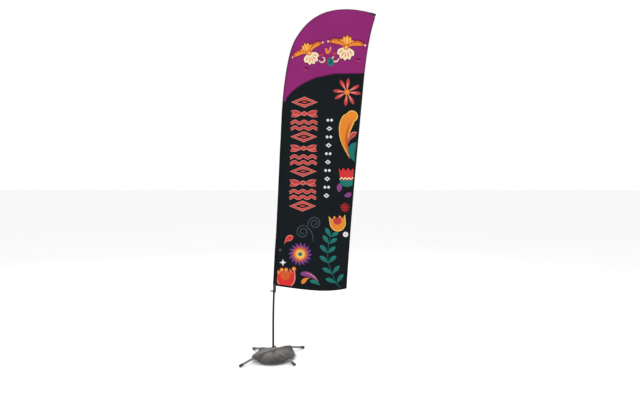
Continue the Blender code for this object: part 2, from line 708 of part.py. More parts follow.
def make_lever(parent):
    """A leaf-shaped cam lever around its pin, pointing away from the cloth."""
    outline = [(LEVER_BOSS * math.cos(a), LEVER_BOSS * math.sin(a)) for a in
               (math.radians(d) for d in range(-120, 121, 30))]
    leaf = [(-0.008, 0.68), (-0.0125, 1.0), (-0.0175, 0.78), (-0.0215, 0.38)]
    outline += [(x, h * LEVER_HALF_HEIGHT) for x, h in leaf]
    outline += [(-LEVER_LENGTH, 0.0)]
    outline += [(x, -h * LEVER_HALF_HEIGHT) for x, h in reversed(leaf)]
    verts, faces = plate(outline, -LEVER_HALF_WIDTH, LEVER_HALF_WIDTH)
    at = local_frame(CLIP_AT) @ Matrix.Translation((-LEVER_PIVOT, 0, 0))
    lever = add_piece("clip_lever", verts, faces, "plastic", parent, at)
    hole = cylinder_y(PIN_RADIUS + GAP, -2 * LEVER_HALF_WIDTH, 2 * LEVER_HALF_WIDTH, 0, 0, 12)
    cut(lever, helper("lever_hole", hole, parent, at))


# ---- cross base ------------------------------------------------------------------------------------------
def bar_height(along, flat, level, reach):
    """Height of a bar's centre line: level in the middle, bending down to its feet."""
    slope = (level - LEG_END_Z) / (reach - flat)
    start, end = flat - KNEE_BLEND, flat + KNEE_BLEND
    a = abs(along)
    if a <= start:
        return level
    if a < end:
        return level - slope * (a - start) ** 2 / (4 * KNEE_BLEND)
    return level - slope * (a - flat)


def bar_frame(along, flat, level, reach):
    """Point and slope direction of a bar's centre line, in its own vertical plane."""
    step = 0.0005
    ahead = bar_height(along + step, flat, level, reach)
    behind = bar_height(along - step, flat, level, reach)
    tangent = Vector((2 * step, ahead - behind)).normalized()
    return Vector((along, bar_height(along, flat, level, reach))), tangent


def bar_ring(along, radius, flat, level, reach):
    point, tangent = bar_frame(along, flat, level, reach)
    ring = []
    for u, v in circle(radius):
        ring.append(Vector((point.x - u * tangent.y, v, point.y + u * tangent.x)))
    return ring


def make_bar(name, azimuth, flat, level, reach, foot_names, parent):
    """One bent tube of the cross, with a bolt hole through its middle and a rubber foot on each end."""
    turn = Matrix.Rotation(math.radians(azimuth), 4, "Z")
    slope = math.atan((level - LEG_END_Z) / (reach - flat))
    tube_end = reach - (FOOT_END_WALL + GAP) * math.cos(slope)
    knee = [flat - KNEE_BLEND, flat - 0.4 * KNEE_BLEND, flat + 0.4 * KNEE_BLEND, flat + KNEE_BLEND]
    half = knee + [tube_end]
    stations = [-a for a in reversed(half)] + half
    outer = [bar_ring(a, TUBE_RADIUS, flat, level, reach) for a in stations]
    inner = [bar_ring(a, TUBE_RADIUS - TUBE_WALL, flat, level, reach) for a in stations]
    bar = add_piece(name, *loft_tube(outer, inner), "leg_paint", parent, turn)
    drill = [(BOLT_RADIUS + GAP, level - 2 * TUBE_RADIUS), (BOLT_RADIUS + GAP, level + 2 * TUBE_RADIUS)]
    cut(bar, helper(name + "_drill", turned_solid(drill, SIDES), parent, turn))

    for foot_name, side in zip(foot_names, (1, -1)):
        length = FOOT_LENGTH * math.cos(slope)
        outer = [bar_ring(side * a, FOOT_RADIUS, flat, level, reach) for a in (reach - length, reach)]
        shoulder = reach - FOOT_END_WALL * math.cos(slope)
        bore = TUBE_RADIUS + GAP
        inner = [bar_ring(side * a, bore, flat, level, reach) for a in (reach - length, shoulder)]
        foot = add_piece(foot_name, *loft([inner[1], inner[0], outer[0], outer[1]]), "rubber", parent, turn)
        low = (min(side * reach * 0.5, side * reach * 1.5), -0.1, -0.1)
        high = (max(side * reach * 0.5, side * reach * 1.5), 0.1, 0.0)
        cut(foot, helper(foot_name + "_floor", box(low, high), parent, turn))


def make_hub(parent):
    """The pivot stack through both bars, and the bearing housing on the upper one."""
    turn = Matrix.Rotation(math.radians(UPPER_AZIMUTH), 4, "Z")
    inside = TUBE_RADIUS + GAP
    outside = inside + SADDLE_THICKNESS
    under = UPPER_BAR_Z - SADDLE_SKIRT
    roof = UPPER_BAR_Z + inside
    channel = [(-outside, under), (-outside, SADDLE_TOP), (outside, SADDLE_TOP), (outside, under)]
    channel += [(inside, under), (inside, roof), (-inside, roof), (-inside, under)]
    rings = [[Vector((x, y, z)) for y, z in channel] for x in (-SADDLE_HALF_LENGTH, SADDLE_HALF_LENGTH)]
    saddle = add_piece("saddle_bracket", *loft(rings), "zinc", parent, turn)
    hole = turned_solid([(BOLT_RADIUS + GAP, under), (BOLT_RADIUS + GAP, SADDLE_TOP + TUBE_RADIUS)], SIDES)
    cut(saddle, helper("saddle_drill", hole, parent, turn))

    bolt_hole = BOLT_RADIUS + GAP
    seat = BEARING_RADIUS + GAP
    housing = [
        (bolt_hole, HUB_BOTTOM),
        (HUB_RADIUS, HUB_BOTTOM),
        (HUB_RADIUS, HUB_TOP - EDGE_BREAK),
        (HUB_RADIUS - EDGE_BREAK, HUB_TOP),
        (seat, HUB_TOP),
        (seat, BEARING_BOTTOM - GAP),
        (HUB_SHOULDER_RADIUS, BEARING_BOTTOM - GAP),
        (HUB_SHOULDER_RADIUS, HUB_BOTTOM + HUB_FLOOR),
        (bolt_hole, HUB_BOTTOM + HUB_FLOOR),
    ]
    add_piece("bearing_housing", *turned(housing), "zinc", parent)
    race(parent, "bearing_outer_ring", BEARING_RADIUS - RACE_WALL, BEARING_RADIUS)

    lower_bottom = LOWER_BAR_Z - TUBE_RADIUS
    washer_top = lower_bottom - GAP
    washer_bottom = washer_top - WASHER_THICKNESS
    nut_top = washer_bottom - GAP
    nut_bottom = nut_top - NUT_HEIGHT
    bolt_bottom = nut_bottom - BOLT_TAIL
    shank = [(BOLT_RADIUS, bolt_bottom), (BOLT_RADIUS, HEAD_BOTTOM + EDGE_BREAK)]
    bolt = add_piece("pivot_bolt", *turned_solid(shank, SIDES), "steel", parent)
    head_top = HEAD_BOTTOM + BOLT_HEAD_HEIGHT
    head = turned_solid([(BOLT_HEAD_RADIUS, HEAD_BOTTOM), (BOLT_HEAD_RADIUS, head_top)], 6)
    cut(bolt, helper("bolt_head_block", head, parent, None), "UNION")
    ring(parent, "pivot_washer", bolt_hole, WASHER_RADIUS, washer_bottom, washer_top, "steel")
    spacer_bottom = LOWER_BAR_Z + TUBE_RADIUS + GAP
    spacer_top = UPPER_BAR_Z - TUBE_RADIUS - GAP
    ring(parent, "bar_spacer", bolt_hole, WASHER_RADIUS, spacer_bottom, spacer_top, "plastic")
    hexagon = circle(NUT_RADIUS, 6)
    outer = [[Vector((x, y, z)) for x, y in hexagon] for z in (nut_bottom, nut_top)]
    nut = add_piece("pivot_nut", *loft(outer), "steel", parent)
    tap = turned_solid([(bolt_hole, nut_bottom - GAP), (bolt_hole, nut_top + GAP)], SIDES)
    cut(nut, helper("nut_thread_block", tap, parent, None))


def ring(parent, name, bore, radius, bottom, top, finish):
    profile = [(bore, bottom), (radius, bottom), (radius, top), (bore, top)]
    add_piece(name, *turned(profile, SIDES), finish, parent)


def race(parent, name, bore, radius):
    edge = 0.0004
    profile = [
        (bore, BEARING_BOTTOM),
        (radius - edge, BEARING_BOTTOM),
        (radius, BEARING_BOTTOM + edge),
        (radius, BEARING_TOP - edge),
        (radius - edge, BEARING_TOP),
        (bore, BEARING_TOP),
    ]
    add_piece(name, *turned(profile), "steel", parent)


def inner_race_radius():
    return SPINDLE_RADIUS + GAP + RACE_WALL * 0.88


def make_ball_cage(parent):
    """Balls between the races, joined by their cage."""
    inside, outside = inner_race_radius(), BEARING_RADIUS - RACE_WALL
    pitch = (inside + outside) / 2
    ball = (outside - inside) / 2 - GAP
    middle = (BEARING_BOTTOM + BEARING_TOP) / 2
    half_wall, half_height = ball * 0.45, ball * 0.55
    band = [
        (pitch - half_wall, middle - half_height),
        (pitch + half_wall, middle - half_height),
        (pitch + half_wall, middle + half_height),
        (pitch - half_wall, middle + half_height),
    ]
    cage = add_piece("bearing_ball_cage", *turned(band, 24), "steel", parent)
    for number in range(BALL_COUNT):
        angle = 2 * math.pi * number / BALL_COUNT
        bm = bmesh.new()
        bmesh.ops.create_icosphere(bm, subdivisions=1, radius=ball)
        verts = [v.co.copy() for v in bm.verts]
        faces = [tuple(v.index for v in f.verts) for f in bm.faces]
        bm.free()
        at = Matrix.Translation((pitch * math.cos(angle), pitch * math.sin(angle), middle))
        cut(cage, helper(f"ball_{number}", (verts, faces), parent, at), "UNION")


def make_spindle(parent):
    profile = [
        (SPINDLE_RADIUS - EDGE_BREAK, BEARING_BOTTOM),
        (SPINDLE_RADIUS, BEARING_BOTTOM + EDGE_BREAK),
        (SPINDLE_RADIUS, FLANGE_BOTTOM),
        (SPINDLE_FLANGE_RADIUS, FLANGE_BOTTOM),
        (SPINDLE_FLANGE_RADIUS, FLANGE_TOP),
        (SPINDLE_RADIUS, FLANGE_TOP),
    ]
    nose = 2 * EDGE_BREAK
    profile += [(SPINDLE_RADIUS, SPINDLE_TOP - nose), (SPINDLE_RADIUS - nose, SPINDLE_TOP)]
    add_piece("spindle_pin", *turned_solid(profile, SIDES), "steel", parent)
    race(parent, "bearing_inner_ring", SPINDLE_RADIUS + GAP, inner_race_radius())


# ---- water bag -------------------------------------------------------------------------------------------
def bag_reach(azimuth):
    """Distance from the pole to the bag's welded edge."""
    along = math.cos(2 * (azimuth - math.radians(UPPER_AZIMUTH)))
    slump = math.cos(azimuth - math.radians(BAG_SLUMP_AZIMUTH))
    return BAG_RADIUS + BAG_ALONG_BAR * along + BAG_SLUMP * slump - BAG_DEPTH_BIAS * math.cos(2 * azimuth)


def bag_under(x, y):
    """Height of the bag's underside: draped over both bars, near the floor between them."""
    height = BAG_FLOOR_GAP
    for azimuth, flat, level, reach in (
        (UPPER_AZIMUTH, UPPER_FLAT, UPPER_BAR_Z, UPPER_REACH),
        (LOWER_AZIMUTH, LOWER_FLAT, LOWER_BAR_Z, LOWER_REACH),
    ):
        angle = math.radians(azimuth)
        along = x * math.cos(angle) + y * math.sin(angle)
        aside = abs(y * math.cos(angle) - x * math.sin(angle))
        top = bar_height(along, flat, level, reach) + TUBE_RADIUS + BAG_BAR_GAP
        height = max(height, top - BAG_FLARE * max(0.0, aside - BAG_BAR_FLAT))
    return height


def weld_height(azimuth):
    """Lower side of the bag's edge: over a bar where it crosses one, clear of the floor between them."""
    reach = bag_reach(azimuth)
    return max(bag_under(reach * math.cos(azimuth), reach * math.sin(azimuth)), BAG_WELD_HEIGHT)


def bag_bottom(azimuth, share):
    """Underside of the bag, which curls up to the weld near its edge."""
    radius = BAG_HOLE + share * (bag_reach(azimuth) - BAG_HOLE)
    curl = max(0.0, share - BAG_TUCK) / (1 - BAG_TUCK)
    rise = BAG_FLOOR_GAP + (BAG_WELD_HEIGHT - BAG_FLOOR_GAP) * curl**2
    return max(bag_under(radius * math.cos(azimuth), radius * math.sin(azimuth)), rise)


def bag_top(azimuth, share):
    reach = bag_reach(azimuth)
    radius = BAG_HOLE + share * (reach - BAG_HOLE)
    edge = weld_height(azimuth) + BAG_EDGE
    crown = max(BAG_CROWN, edge + EDGE_BREAK)
    dome = edge + (crown - edge) * (1 - (radius / reach) ** BAG_CROWN_POWER)
    return max(dome, bag_bottom(azimuth, share) + BAG_EDGE + BAG_THIN * (1 - share**2))


def bag_azimuths():
    """Spokes of the bag, the first of them over the upper bar."""
    step = 2 * math.pi / BAG_SPOKES
    return [math.radians(UPPER_AZIMUTH) + i * step for i in range(BAG_SPOKES)]


def make_bag(parent):
    upper, lower = [], []
    for share in BAG_RINGS:
        top_ring, under_ring = [], []
        for azimuth in bag_azimuths():
            radius = BAG_HOLE + share * (bag_reach(azimuth) - BAG_HOLE)
            x, y = radius * math.cos(azimuth), radius * math.sin(azimuth)
            top_ring.append(Vector((x, y, bag_top(azimuth, share))))
            under_ring.append(Vector((x, y, bag_bottom(azimuth, share))))
        upper.append(top_ring)
        lower.append(under_ring)
    add_piece("water_bag", *loft_tube(upper, lower), "bag", parent)
    make_bag_seam(parent)
    make_bag_tab(parent)
    make_filler_neck(parent)


def seam_height(azimuth):
    """Middle of the welded edge; it clears the bars where it crosses them."""
    return weld_height(azimuth) + BAG_EDGE / 2


def make_bag_seam(parent):
    half = SEAM_THICKNESS / 2
    rings = []
    for out, rise in ((2 * GAP, -half), (SEAM_WIDTH, -half), (SEAM_WIDTH, half), (2 * GAP, half)):
        ring_points = []
        for azimuth in bag_azimuths():
            radius = bag_reach(azimuth) + out
            spot = (radius * math.cos(azimuth), radius * math.sin(azimuth), seam_height(azimuth) + rise)
            ring_points.append(Vector(spot))
        rings.append(ring_points)
    add_piece("bag_seam", *loft_tube(rings[:2], list(reversed(rings[2:]))), "bag_trim", parent)


def make_bag_tab(parent):
    """A hanging tab of webbing on the welded edge."""
    azimuth = math.radians(TAB_AZIMUTH)
    start = bag_reach(azimuth) + SEAM_WIDTH + GAP
    z = seam_height(azimuth)
    half = SEAM_THICKNESS / 2
    outline = [(0.0, -TAB_WIDTH / 2), (TAB_LENGTH * 0.5, -TAB_WIDTH * 0.42), (TAB_LENGTH, -TAB_WIDTH * 0.18)]
    outline += [(x, -y) for x, y in reversed(outline)]
    rings = [[Vector((start + x, y, z + rise)) for x, y in outline] for rise in (-half, half)]
    add_piece("bag_tab", *loft(rings), "bag_trim", parent, Matrix.Rotation(azimuth, 4, "Z"))


def filler_frame():
    """Matrix on the bag's back slope, Z square to its surface."""
    azimuth = math.radians(FILLER_AZIMUTH)
    reach = bag_reach(azimuth)
    span = reach - BAG_HOLE
    share = (FILLER_REACH - BAG_HOLE) / span
    rise = bag_top(azimuth, share - 0.02) - bag_top(azimuth, share + 0.02)
    tilt = math.atan(rise / (0.04 * span))
    spot = Vector((FILLER_REACH, 0.0, bag_top(azimuth, share)))
    turn = Matrix.Rotation(azimuth, 4, "Z")
    lean = Matrix.Rotation(tilt, 4, "Y")
    return turn @ Matrix.Translation(spot) @ lean @ Matrix.Translation((0, 0, 2 * GAP))


def make_filler_neck(parent):
    profile = [
        (NECK_BORE, 0.0),
        (NECK_FLANGE_RADIUS, 0.0),
        (NECK_FLANGE_RADIUS, NECK_FLANGE),
        (NECK_RADIUS, NECK_FLANGE),
        (NECK_RADIUS, NECK_HEIGHT),
        (NECK_BORE, NECK_HEIGHT),
    ]
    add_piece("filler_neck", *turned(profile, 24), "plastic", parent, filler_frame())


def make_filler_cap(parent):
    at = filler_frame()
    gasket_bottom = NECK_HEIGHT + GAP
    roof = gasket_bottom + GASKET + GAP
    bore = NECK_RADIUS + 2 * GAP
    skirt = NECK_FLANGE + 3 * GAP
    top = roof + CAP_TOP
    rings = [(0.55 * bore, roof), (bore, roof), (bore, skirt), (CAP_RADIUS, skirt)]
    rings += [(CAP_RADIUS, top - EDGE_BREAK), (CAP_RADIUS - EDGE_BREAK, top)]
    add_piece("filler_cap", *turned_solid(rings, 24), "plastic", parent, at)
    profile = [
        (NECK_BORE + GAP, gasket_bottom),
        (NECK_RADIUS - GAP, gasket_bottom),
        (NECK_RADIUS - GAP, gasket_bottom + GASKET),
        (NECK_BORE + GAP, gasket_bottom + GASKET),
    ]
    add_piece("cap_gasket", *turned(profile, 24), "rubber", parent, at)


# ---- whole model -----------------------------------------------------------------------------------------
def stand_on_origin(root):
    """Moves the model so that the bottom centre of its box is the origin."""
    bpy.context.view_layer.update()
    graph = bpy.context.evaluated_depsgraph_get()
    spots = []
    for obj in bpy.data.objects:
        if obj.type == "MESH" and not obj.hide_render:
            shown = obj.evaluated_get(graph)
            spots += [shown.matrix_world @ v.co for v in shown.data.vertices]
    low = [min(p[k] for p in spots) for k in range(3)]
    high = [max(p[k] for p in spots) for k in range(3)]
    root.location = (-(low[0] + high[0]) / 2, -(low[1] + high[1]) / 2, -low[2])
    bpy.context.view_layer.update()


def main():
    clear_scene()
    root = add_empty("flag_frame")
    pole_axis = add_empty("pole_axis", root)
    fold_axis = add_empty("fold_axis", root)
    make_bar(
        "upper_leg_bar", UPPER_AZIMUTH, UPPER_FLAT, UPPER_BAR_Z, UPPER_REACH,
        ("foot_back_right", "foot_front_left"), root,
    )
    make_bar(
        "lower_leg_bar", LOWER_AZIMUTH, LOWER_FLAT, LOWER_BAR_Z, LOWER_REACH,
        ("foot_back_left", "foot_front_right"), fold_axis,
    )
    make_hub(root)
    make_ball_cage(pole_axis)
    make_spindle(pole_axis)
    make_pole(pole_axis)
    make_cloth(pole_axis)
    make_tether(pole_axis)
    make_clip(pole_axis)
    make_lever(pole_axis)
    make_bag(root)
    make_filler_cap(root)
    stand_on_origin(root)


main()
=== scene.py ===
"""Looks of the feather flag: cloth, print, pole, tether, base and water bag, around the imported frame."""

import math
import random

import bmesh
import bpy
import numpy as np
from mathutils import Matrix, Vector
from mathutils.geometry import delaunay_2d_cdt


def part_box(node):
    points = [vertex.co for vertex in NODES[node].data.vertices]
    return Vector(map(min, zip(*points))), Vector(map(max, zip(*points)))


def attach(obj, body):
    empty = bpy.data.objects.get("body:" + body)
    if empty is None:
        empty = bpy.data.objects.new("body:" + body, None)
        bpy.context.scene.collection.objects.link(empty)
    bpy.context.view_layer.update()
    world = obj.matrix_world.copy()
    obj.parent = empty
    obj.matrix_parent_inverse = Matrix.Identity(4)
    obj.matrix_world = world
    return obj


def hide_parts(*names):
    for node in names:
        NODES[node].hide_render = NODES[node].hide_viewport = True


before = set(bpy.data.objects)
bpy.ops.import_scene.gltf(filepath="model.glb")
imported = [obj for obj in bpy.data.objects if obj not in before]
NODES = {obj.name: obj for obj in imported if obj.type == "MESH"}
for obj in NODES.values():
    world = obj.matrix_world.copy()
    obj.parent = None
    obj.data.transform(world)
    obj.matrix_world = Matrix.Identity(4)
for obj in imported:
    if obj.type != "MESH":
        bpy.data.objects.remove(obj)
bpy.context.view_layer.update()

# Everything on the pole is worked out about its axis, as in the CAD.
SPINDLE_LOW, SPINDLE_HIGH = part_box("spindle_pin")
POLE_X = (SPINDLE_LOW[0] + SPINDLE_HIGH[0]) / 2
POLE_Y = (SPINDLE_LOW[1] + SPINDLE_HIGH[1]) / 2


# ---- colours ------------------------------------------------------------------------------------------
def linear(red, green, blue):
    """Scene colour of an 8-bit display colour."""
    def channel(v):
        v /= 255
        return v / 12.92 if v <= 0.04045 else ((v + 0.055) / 1.055) ** 2.4
    return (channel(red), channel(green), channel(blue))


INK_DEPTH = 0.74  # the studio light is a little brighter than white
INKS = {
    "magenta": (140, 34, 110),
    "magenta_dark": (84, 18, 66),
    "night": (8, 17, 22),
    "black": (7, 7, 9),
    "red": (186, 62, 62),
    "red_bright": (214, 48, 46),
    "pink": (226, 138, 126),
    "orange": (226, 134, 44),
    "orange_deep": (206, 92, 38),
    "yellow": (240, 190, 92),
    "cream": (238, 218, 180),
    "white": (226, 226, 228),
    "teal": (26, 116, 106),
    "teal_deep": (18, 84, 84),
    "slate": (62, 78, 84),
    "purple": (132, 66, 128),
    "violet": (74, 46, 112),
}


# ---- materials ----------------------------------------------------------------------------------------
def new_material(name, roughness, metallic=0.0, **sockets):
    made = bpy.data.materials.new(name)
    made.use_nodes = True
    tree = made.node_tree
    shader = tree.nodes["Principled BSDF"]
    shader.inputs["Roughness"].default_value = roughness
    shader.inputs["Metallic"].default_value = metallic
    for socket, value in sockets.items():
        shader.inputs[socket.replace("_", " ")].default_value = value
    return made, tree, shader


def object_coordinates(tree, scale=(1.0, 1.0, 1.0)):
    source = tree.nodes.new("ShaderNodeTexCoord")
    mapping = tree.nodes.new("ShaderNodeMapping")
    mapping.inputs["Scale"].default_value = scale
    tree.links.new(source.outputs["Object"], mapping.inputs["Vector"])
    return mapping.outputs["Vector"]


def noise(tree, vector, scale, detail=3.0, roughness=0.5):
    node = tree.nodes.new("ShaderNodeTexNoise")
    node.inputs["Scale"].default_value = scale
    node.inputs["Detail"].default_value = detail
    node.inputs["Roughness"].default_value = roughness
    tree.links.new(vector, node.inputs["Vector"])
    return node.outputs["Fac"]


def wave(tree, vector, scale, axis, distortion=0.0):
    node = tree.nodes.new("ShaderNodeTexWave")
    node.wave_type = "BANDS"
    node.bands_direction = axis
    node.inputs["Scale"].default_value = scale
    node.inputs["Distortion"].default_value = distortion
    tree.links.new(vector, node.inputs["Vector"])
    return node.outputs["Fac"]


def mixed(tree, kind, a, b):
    node = tree.nodes.new("ShaderNodeMath")
    node.operation = kind
    for socket, value in zip(node.inputs, (a, b)):
        if isinstance(value, (int, float)):
            socket.default_value = value
        else:
            tree.links.new(value, socket)
    return node.outputs["Value"]


def mixed_colours(tree, a, b):
    """Product of two colours."""
    node = tree.nodes.new("ShaderNodeVectorMath")
    node.operation = "MULTIPLY"
    tree.links.new(a, node.inputs[0])
    tree.links.new(b, node.inputs[1])
    return node.outputs["Vector"]


def ramp(tree, factor, stops):
    """Colour ramp through (position, colour) stops."""
    node = tree.nodes.new("ShaderNodeValToRGB")
    elements = node.color_ramp.elements
    while len(elements) < len(stops):
        elements.new(0.5)
    for element, (position, colour) in zip(elements, stops):
        element.position = position
        element.color = (*colour, 1.0)
    tree.links.new(factor, node.inputs["Fac"])
    return node.outputs["Color"]


def bump(tree, shader, height, strength, distance):
    node = tree.nodes.new("ShaderNodeBump")
    node.inputs["Strength"].default_value = strength
    node.inputs["Distance"].default_value = distance
    tree.links.new(height, node.inputs["Height"])
    tree.links.new(node.outputs["Normal"], shader.inputs["Normal"])


def shaded(colour, share):
    return tuple(max(0.0, c * share) for c in colour)


def cloth_material(name, colour, thread=0.0011, roughness=0.78):
    """Printed knitted polyester: fine courses and wales, with slightly uneven ink."""
    made, tree, shader = new_material(name, roughness, Sheen_Weight=0.02, Specular_IOR_Level=0.12)
    vector = object_coordinates(tree)
    scale = 0.314 / thread
    wales = wave(tree, vector, scale, "X")
    courses = wave(tree, vector, scale * 0.8, "Z", 0.4)
    weave = mixed(tree, "MULTIPLY", wales, courses)
    blotches = mixed(tree, "ADD", noise(tree, vector, 2.2), mixed(tree, "MULTIPLY", weave, 0.25))
    colours = ramp(tree, blotches, [(0.35, shaded(colour, 0.90)), (0.75, shaded(colour, 1.08))])
    tree.links.new(colours, shader.inputs["Base Color"])
    bump(tree, shader, weave, 0.35, 0.0002)
    return made


def ink_material(name):
    existing = bpy.data.materials.get("ink_" + name)
    return existing or cloth_material("ink_" + name, shaded(linear(*INKS[name]), INK_DEPTH))


# ---- meshes -------------------------------------------------------------------------------------------
def add_object(name, verts, faces, materials, face_materials=None, smooth=True, angle=40):
    mesh = bpy.data.meshes.new(name)
    mesh.from_pydata([tuple(v) for v in verts], [], [tuple(f) for f in faces])
    for entry in materials:
        mesh.materials.append(entry)
    if face_materials is not None:
        mesh.polygons.foreach_set("material_index", face_materials)
    obj = bpy.data.objects.new(name, mesh)
    bpy.context.scene.collection.objects.link(obj)
    if smooth:
        mesh.shade_smooth()
        mesh.set_sharp_from_angle(angle=math.radians(angle))
    return obj


def ring_faces(stations, count, closed=False):
    """Quads between equal rings laid one after the other."""
    faces = []
    for k in range(stations if closed else stations - 1):
        a, b = k * count, ((k + 1) % stations) * count
        for i in range(count):
            j = (i + 1) % count
            faces.append((a + i, b + i, b + j, a + j))
    return faces


def outward(obj):
    """Turns every face of a closed mesh outwards."""
    bm = bmesh.new()
    bm.from_mesh(obj.data)
    bmesh.ops.recalc_face_normals(bm, faces=bm.faces)
    bm.to_mesh(obj.data)
    bm.free()
    return obj


def lofted(name, rings, materials, face_materials=None, ends=True, angle=40):
    """A solid through equal rings of points."""
    count = len(rings[0])
    verts = [p for ring in rings for p in ring]
    faces = ring_faces(len(rings), count)
    if ends:
        faces.append(tuple(range(count)))
        faces.append(tuple(range((len(rings) - 1) * count, len(rings) * count)))
        if face_materials is not None:
            face_materials = list(face_materials) + [face_materials[0], face_materials[-1]]
    return outward(add_object(name, verts, faces, materials, face_materials, angle=angle))


def joined(name, parts, materials):
    """One object from several (verts, faces) solids."""
    verts, faces = [], []
    for part_verts, part_faces in parts:
        start = len(verts)
        verts += part_verts
        faces += [tuple(start + i for i in face) for face in part_faces]
    return outward(add_object(name, verts, faces, materials))


# ---- camera, light and floor --------------------------------------------------------------------------
CAMERA_PLACE = (POLE_X + 0.482, -6.08, 2.07)
CAMERA_LENS = 33.2
CAMERA_SHIFT = -0.068


def make_camera():
    data = bpy.data.cameras.new("camera")
    data.lens = CAMERA_LENS
    data.sensor_width = 36.0
    data.shift_y = CAMERA_SHIFT
    camera = bpy.data.objects.new("camera", data)
    camera.location = CAMERA_PLACE
    camera.rotation_euler = (math.radians(90), 0, 0)
    bpy.context.scene.collection.objects.link(camera)
    bpy.context.scene.camera = camera


def add_light(name, place, target, size, power):
    data = bpy.data.lights.new(name, "AREA")
    data.shape = "DISK"
    data.size = size
    data.energy = power
    light = bpy.data.objects.new(name, data)
    light.location = place
    light.rotation_euler = (Vector(target) - Vector(place)).to_track_quat("-Z", "Y").to_euler()
    bpy.context.scene.collection.objects.link(light)


def make_studio():
    add_light("key_light", (-3.6, -5.2, 5.2), (0, 0, 1.4), 3.2, 190)
    add_light("fill_light", (4.6, -4.8, 3.0), (0, 0, 1.6), 4.0, 50)
    add_light("back_light", (-1.2, 4.8, 4.2), (0, 0, 1.8), 3.5, 90)
    world = bpy.data.worlds.new("studio")
    world.use_nodes = True
    background = world.node_tree.nodes["Background"]
    background.inputs["Color"].default_value = (1.0, 1.0, 1.0, 1.0)
    background.inputs["Strength"].default_value = 1.0
    bpy.context.scene.world = world
    bpy.context.scene.view_settings.view_transform = "Standard"
    half = 30.0
    corners = [(-half, -half, 0), (half, -half, 0), (half, half, 0), (-half, half, 0)]
    made, _, _ = new_material("pale_floor", 0.75)
    made.node_tree.nodes["Principled BSDF"].inputs["Base Color"].default_value = (0.93, 0.93, 0.93, 1)
    add_object("floor", corners, [(0, 1, 2, 3)], [made], smooth=False)


# ---- curves of the pole and the cloth, as in the CAD --------------------------------------------------
GAP = 0.0003
POLE_FOOT_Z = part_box("pole_base_section")[0][2]
POLE_LEAN_START = 0.30
# x, z, heading in degrees from vertical, handles before and after
POLE_KNOTS = [
    (0.0, POLE_LEAN_START, 0.0, 0.0, 0.35),
    (0.035, 1.20, 3.3, 0.30, 0.40),
    (0.096, 2.50, 2.8, 0.40, 0.27),
    (0.247, 3.300, 33.0, 0.17, 0.18),
    (0.755, 3.582, 90.0, 0.28, 0.11),
    (1.0485, 3.5350, 106.0, 0.08, 0.0),
]
CLOTH_FOOT_Z = 0.740
FLY_KNOTS = [
    (1.061, 3.534, 198.5, 0.0, 0.26),
    (0.925, 2.748, 185.3, 0.30, 0.70),
    (0.757, 0.7086, 183.2, 0.70, 0.0),
]
FOOT_HEADINGS = (98.5, 79.0)
FOOT_HANDLES = (0.42, 0.20)
SECTION_LENGTH = 1.03
CURVE_STEPS = 60


def heading(degrees):
    angle = math.radians(degrees)
    return np.array((math.sin(angle), math.cos(angle)))


def bezier(start, start_handle, end, end_handle, steps=CURVE_STEPS):
    """Curve between two points; each handle is an (x, z) offset towards the other end's side."""
    p0, p3 = np.array(start, float), np.array(end, float)
    p1, p2 = p0 + start_handle, p3 - end_handle
    t = np.linspace(0, 1, steps + 1)[:, None]
    return (1 - t) ** 3 * p0 + 3 * (1 - t) ** 2 * t * p1 + 3 * (1 - t) * t * t * p2 + t**3 * p3


def through(knots):
    pieces = [np.array([knots[0][:2]])]
    for (x0, z0, lean0, _, out), (x1, z1, lean1, back, _) in zip(knots, knots[1:]):
        pieces.append(bezier((x0, z0), out * heading(lean0), (x1, z1), back * heading(lean1))[1:])
    return np.vstack(pieces)


class Curve:
    """A plane curve read by the length along it."""

    def __init__(self, points):
        self.points = np.array(points, float)
        steps = np.linalg.norm(np.diff(self.points, axis=0), axis=1)
        self.lengths = np.concatenate(([0.0], np.cumsum(steps)))
        self.total = float(self.lengths[-1])

    def at(self, length):
        """Point, unit tangent, and the direction to its right."""
        inner = min(max(length, 0.0), self.total)
        point = self.spot(inner)
        tangent = self.spot(min(inner + 0.004, self.total)) - self.spot(max(inner - 0.004, 0.0))
        tangent = tangent / np.linalg.norm(tangent)
        return point + (length - inner) * tangent, tangent, np.array((tangent[1], -tangent[0]))

    def spot(self, length):
        return np.array([np.interp(length, self.lengths, self.points[:, k]) for k in range(2)])

    def length_at_height(self, height):
        rising = self.points[:, 1]
        first = int(np.argmax(rising > height))
        share = (height - rising[first - 1]) / (rising[first] - rising[first - 1])
        return float(self.lengths[first - 1] + share * (self.lengths[first] - self.lengths[first - 1]))


POLE = Curve(np.vstack(([[0.0, POLE_FOOT_Z]], through(POLE_KNOTS))))
CLOTH_START = POLE.length_at_height(CLOTH_FOOT_Z)
FLY_EDGE = Curve(through(FLY_KNOTS))
FOOT_EDGE = Curve(bezier(
    POLE.at(CLOTH_START)[0], FOOT_HANDLES[0] * heading(FOOT_HEADINGS[0]),
    FLY_KNOTS[-1][:2], FOOT_HANDLES[1] * heading(FOOT_HEADINGS[1]),
))
JOINTS = [SECTION_LENGTH, 2 * SECTION_LENGTH, 3 * SECTION_LENGTH]
SECTION_RADII = (0.0110, 0.0092, 0.0075, 0.0052)
TIP_RADIUS = 0.0028
SLEEVE_WALL = 0.0008
SLEEVE_TAIL = 0.014
SLEEVE_EASE = 0.08


def sleeve_radius(length):
    """Inside radius of the sleeve: each section's own, easing in past each joint."""
    steps = [(0.0, SECTION_RADII[0])]
    for joint, before, after in zip(JOINTS, SECTION_RADII, SECTION_RADII[1:]):
        steps += [(joint, before), (joint + SLEEVE_EASE, after)]
    steps.append((POLE.total, TIP_RADIUS))
    lengths, radii = zip(*steps)
    return float(np.interp(length, lengths, radii)) + 0.0013


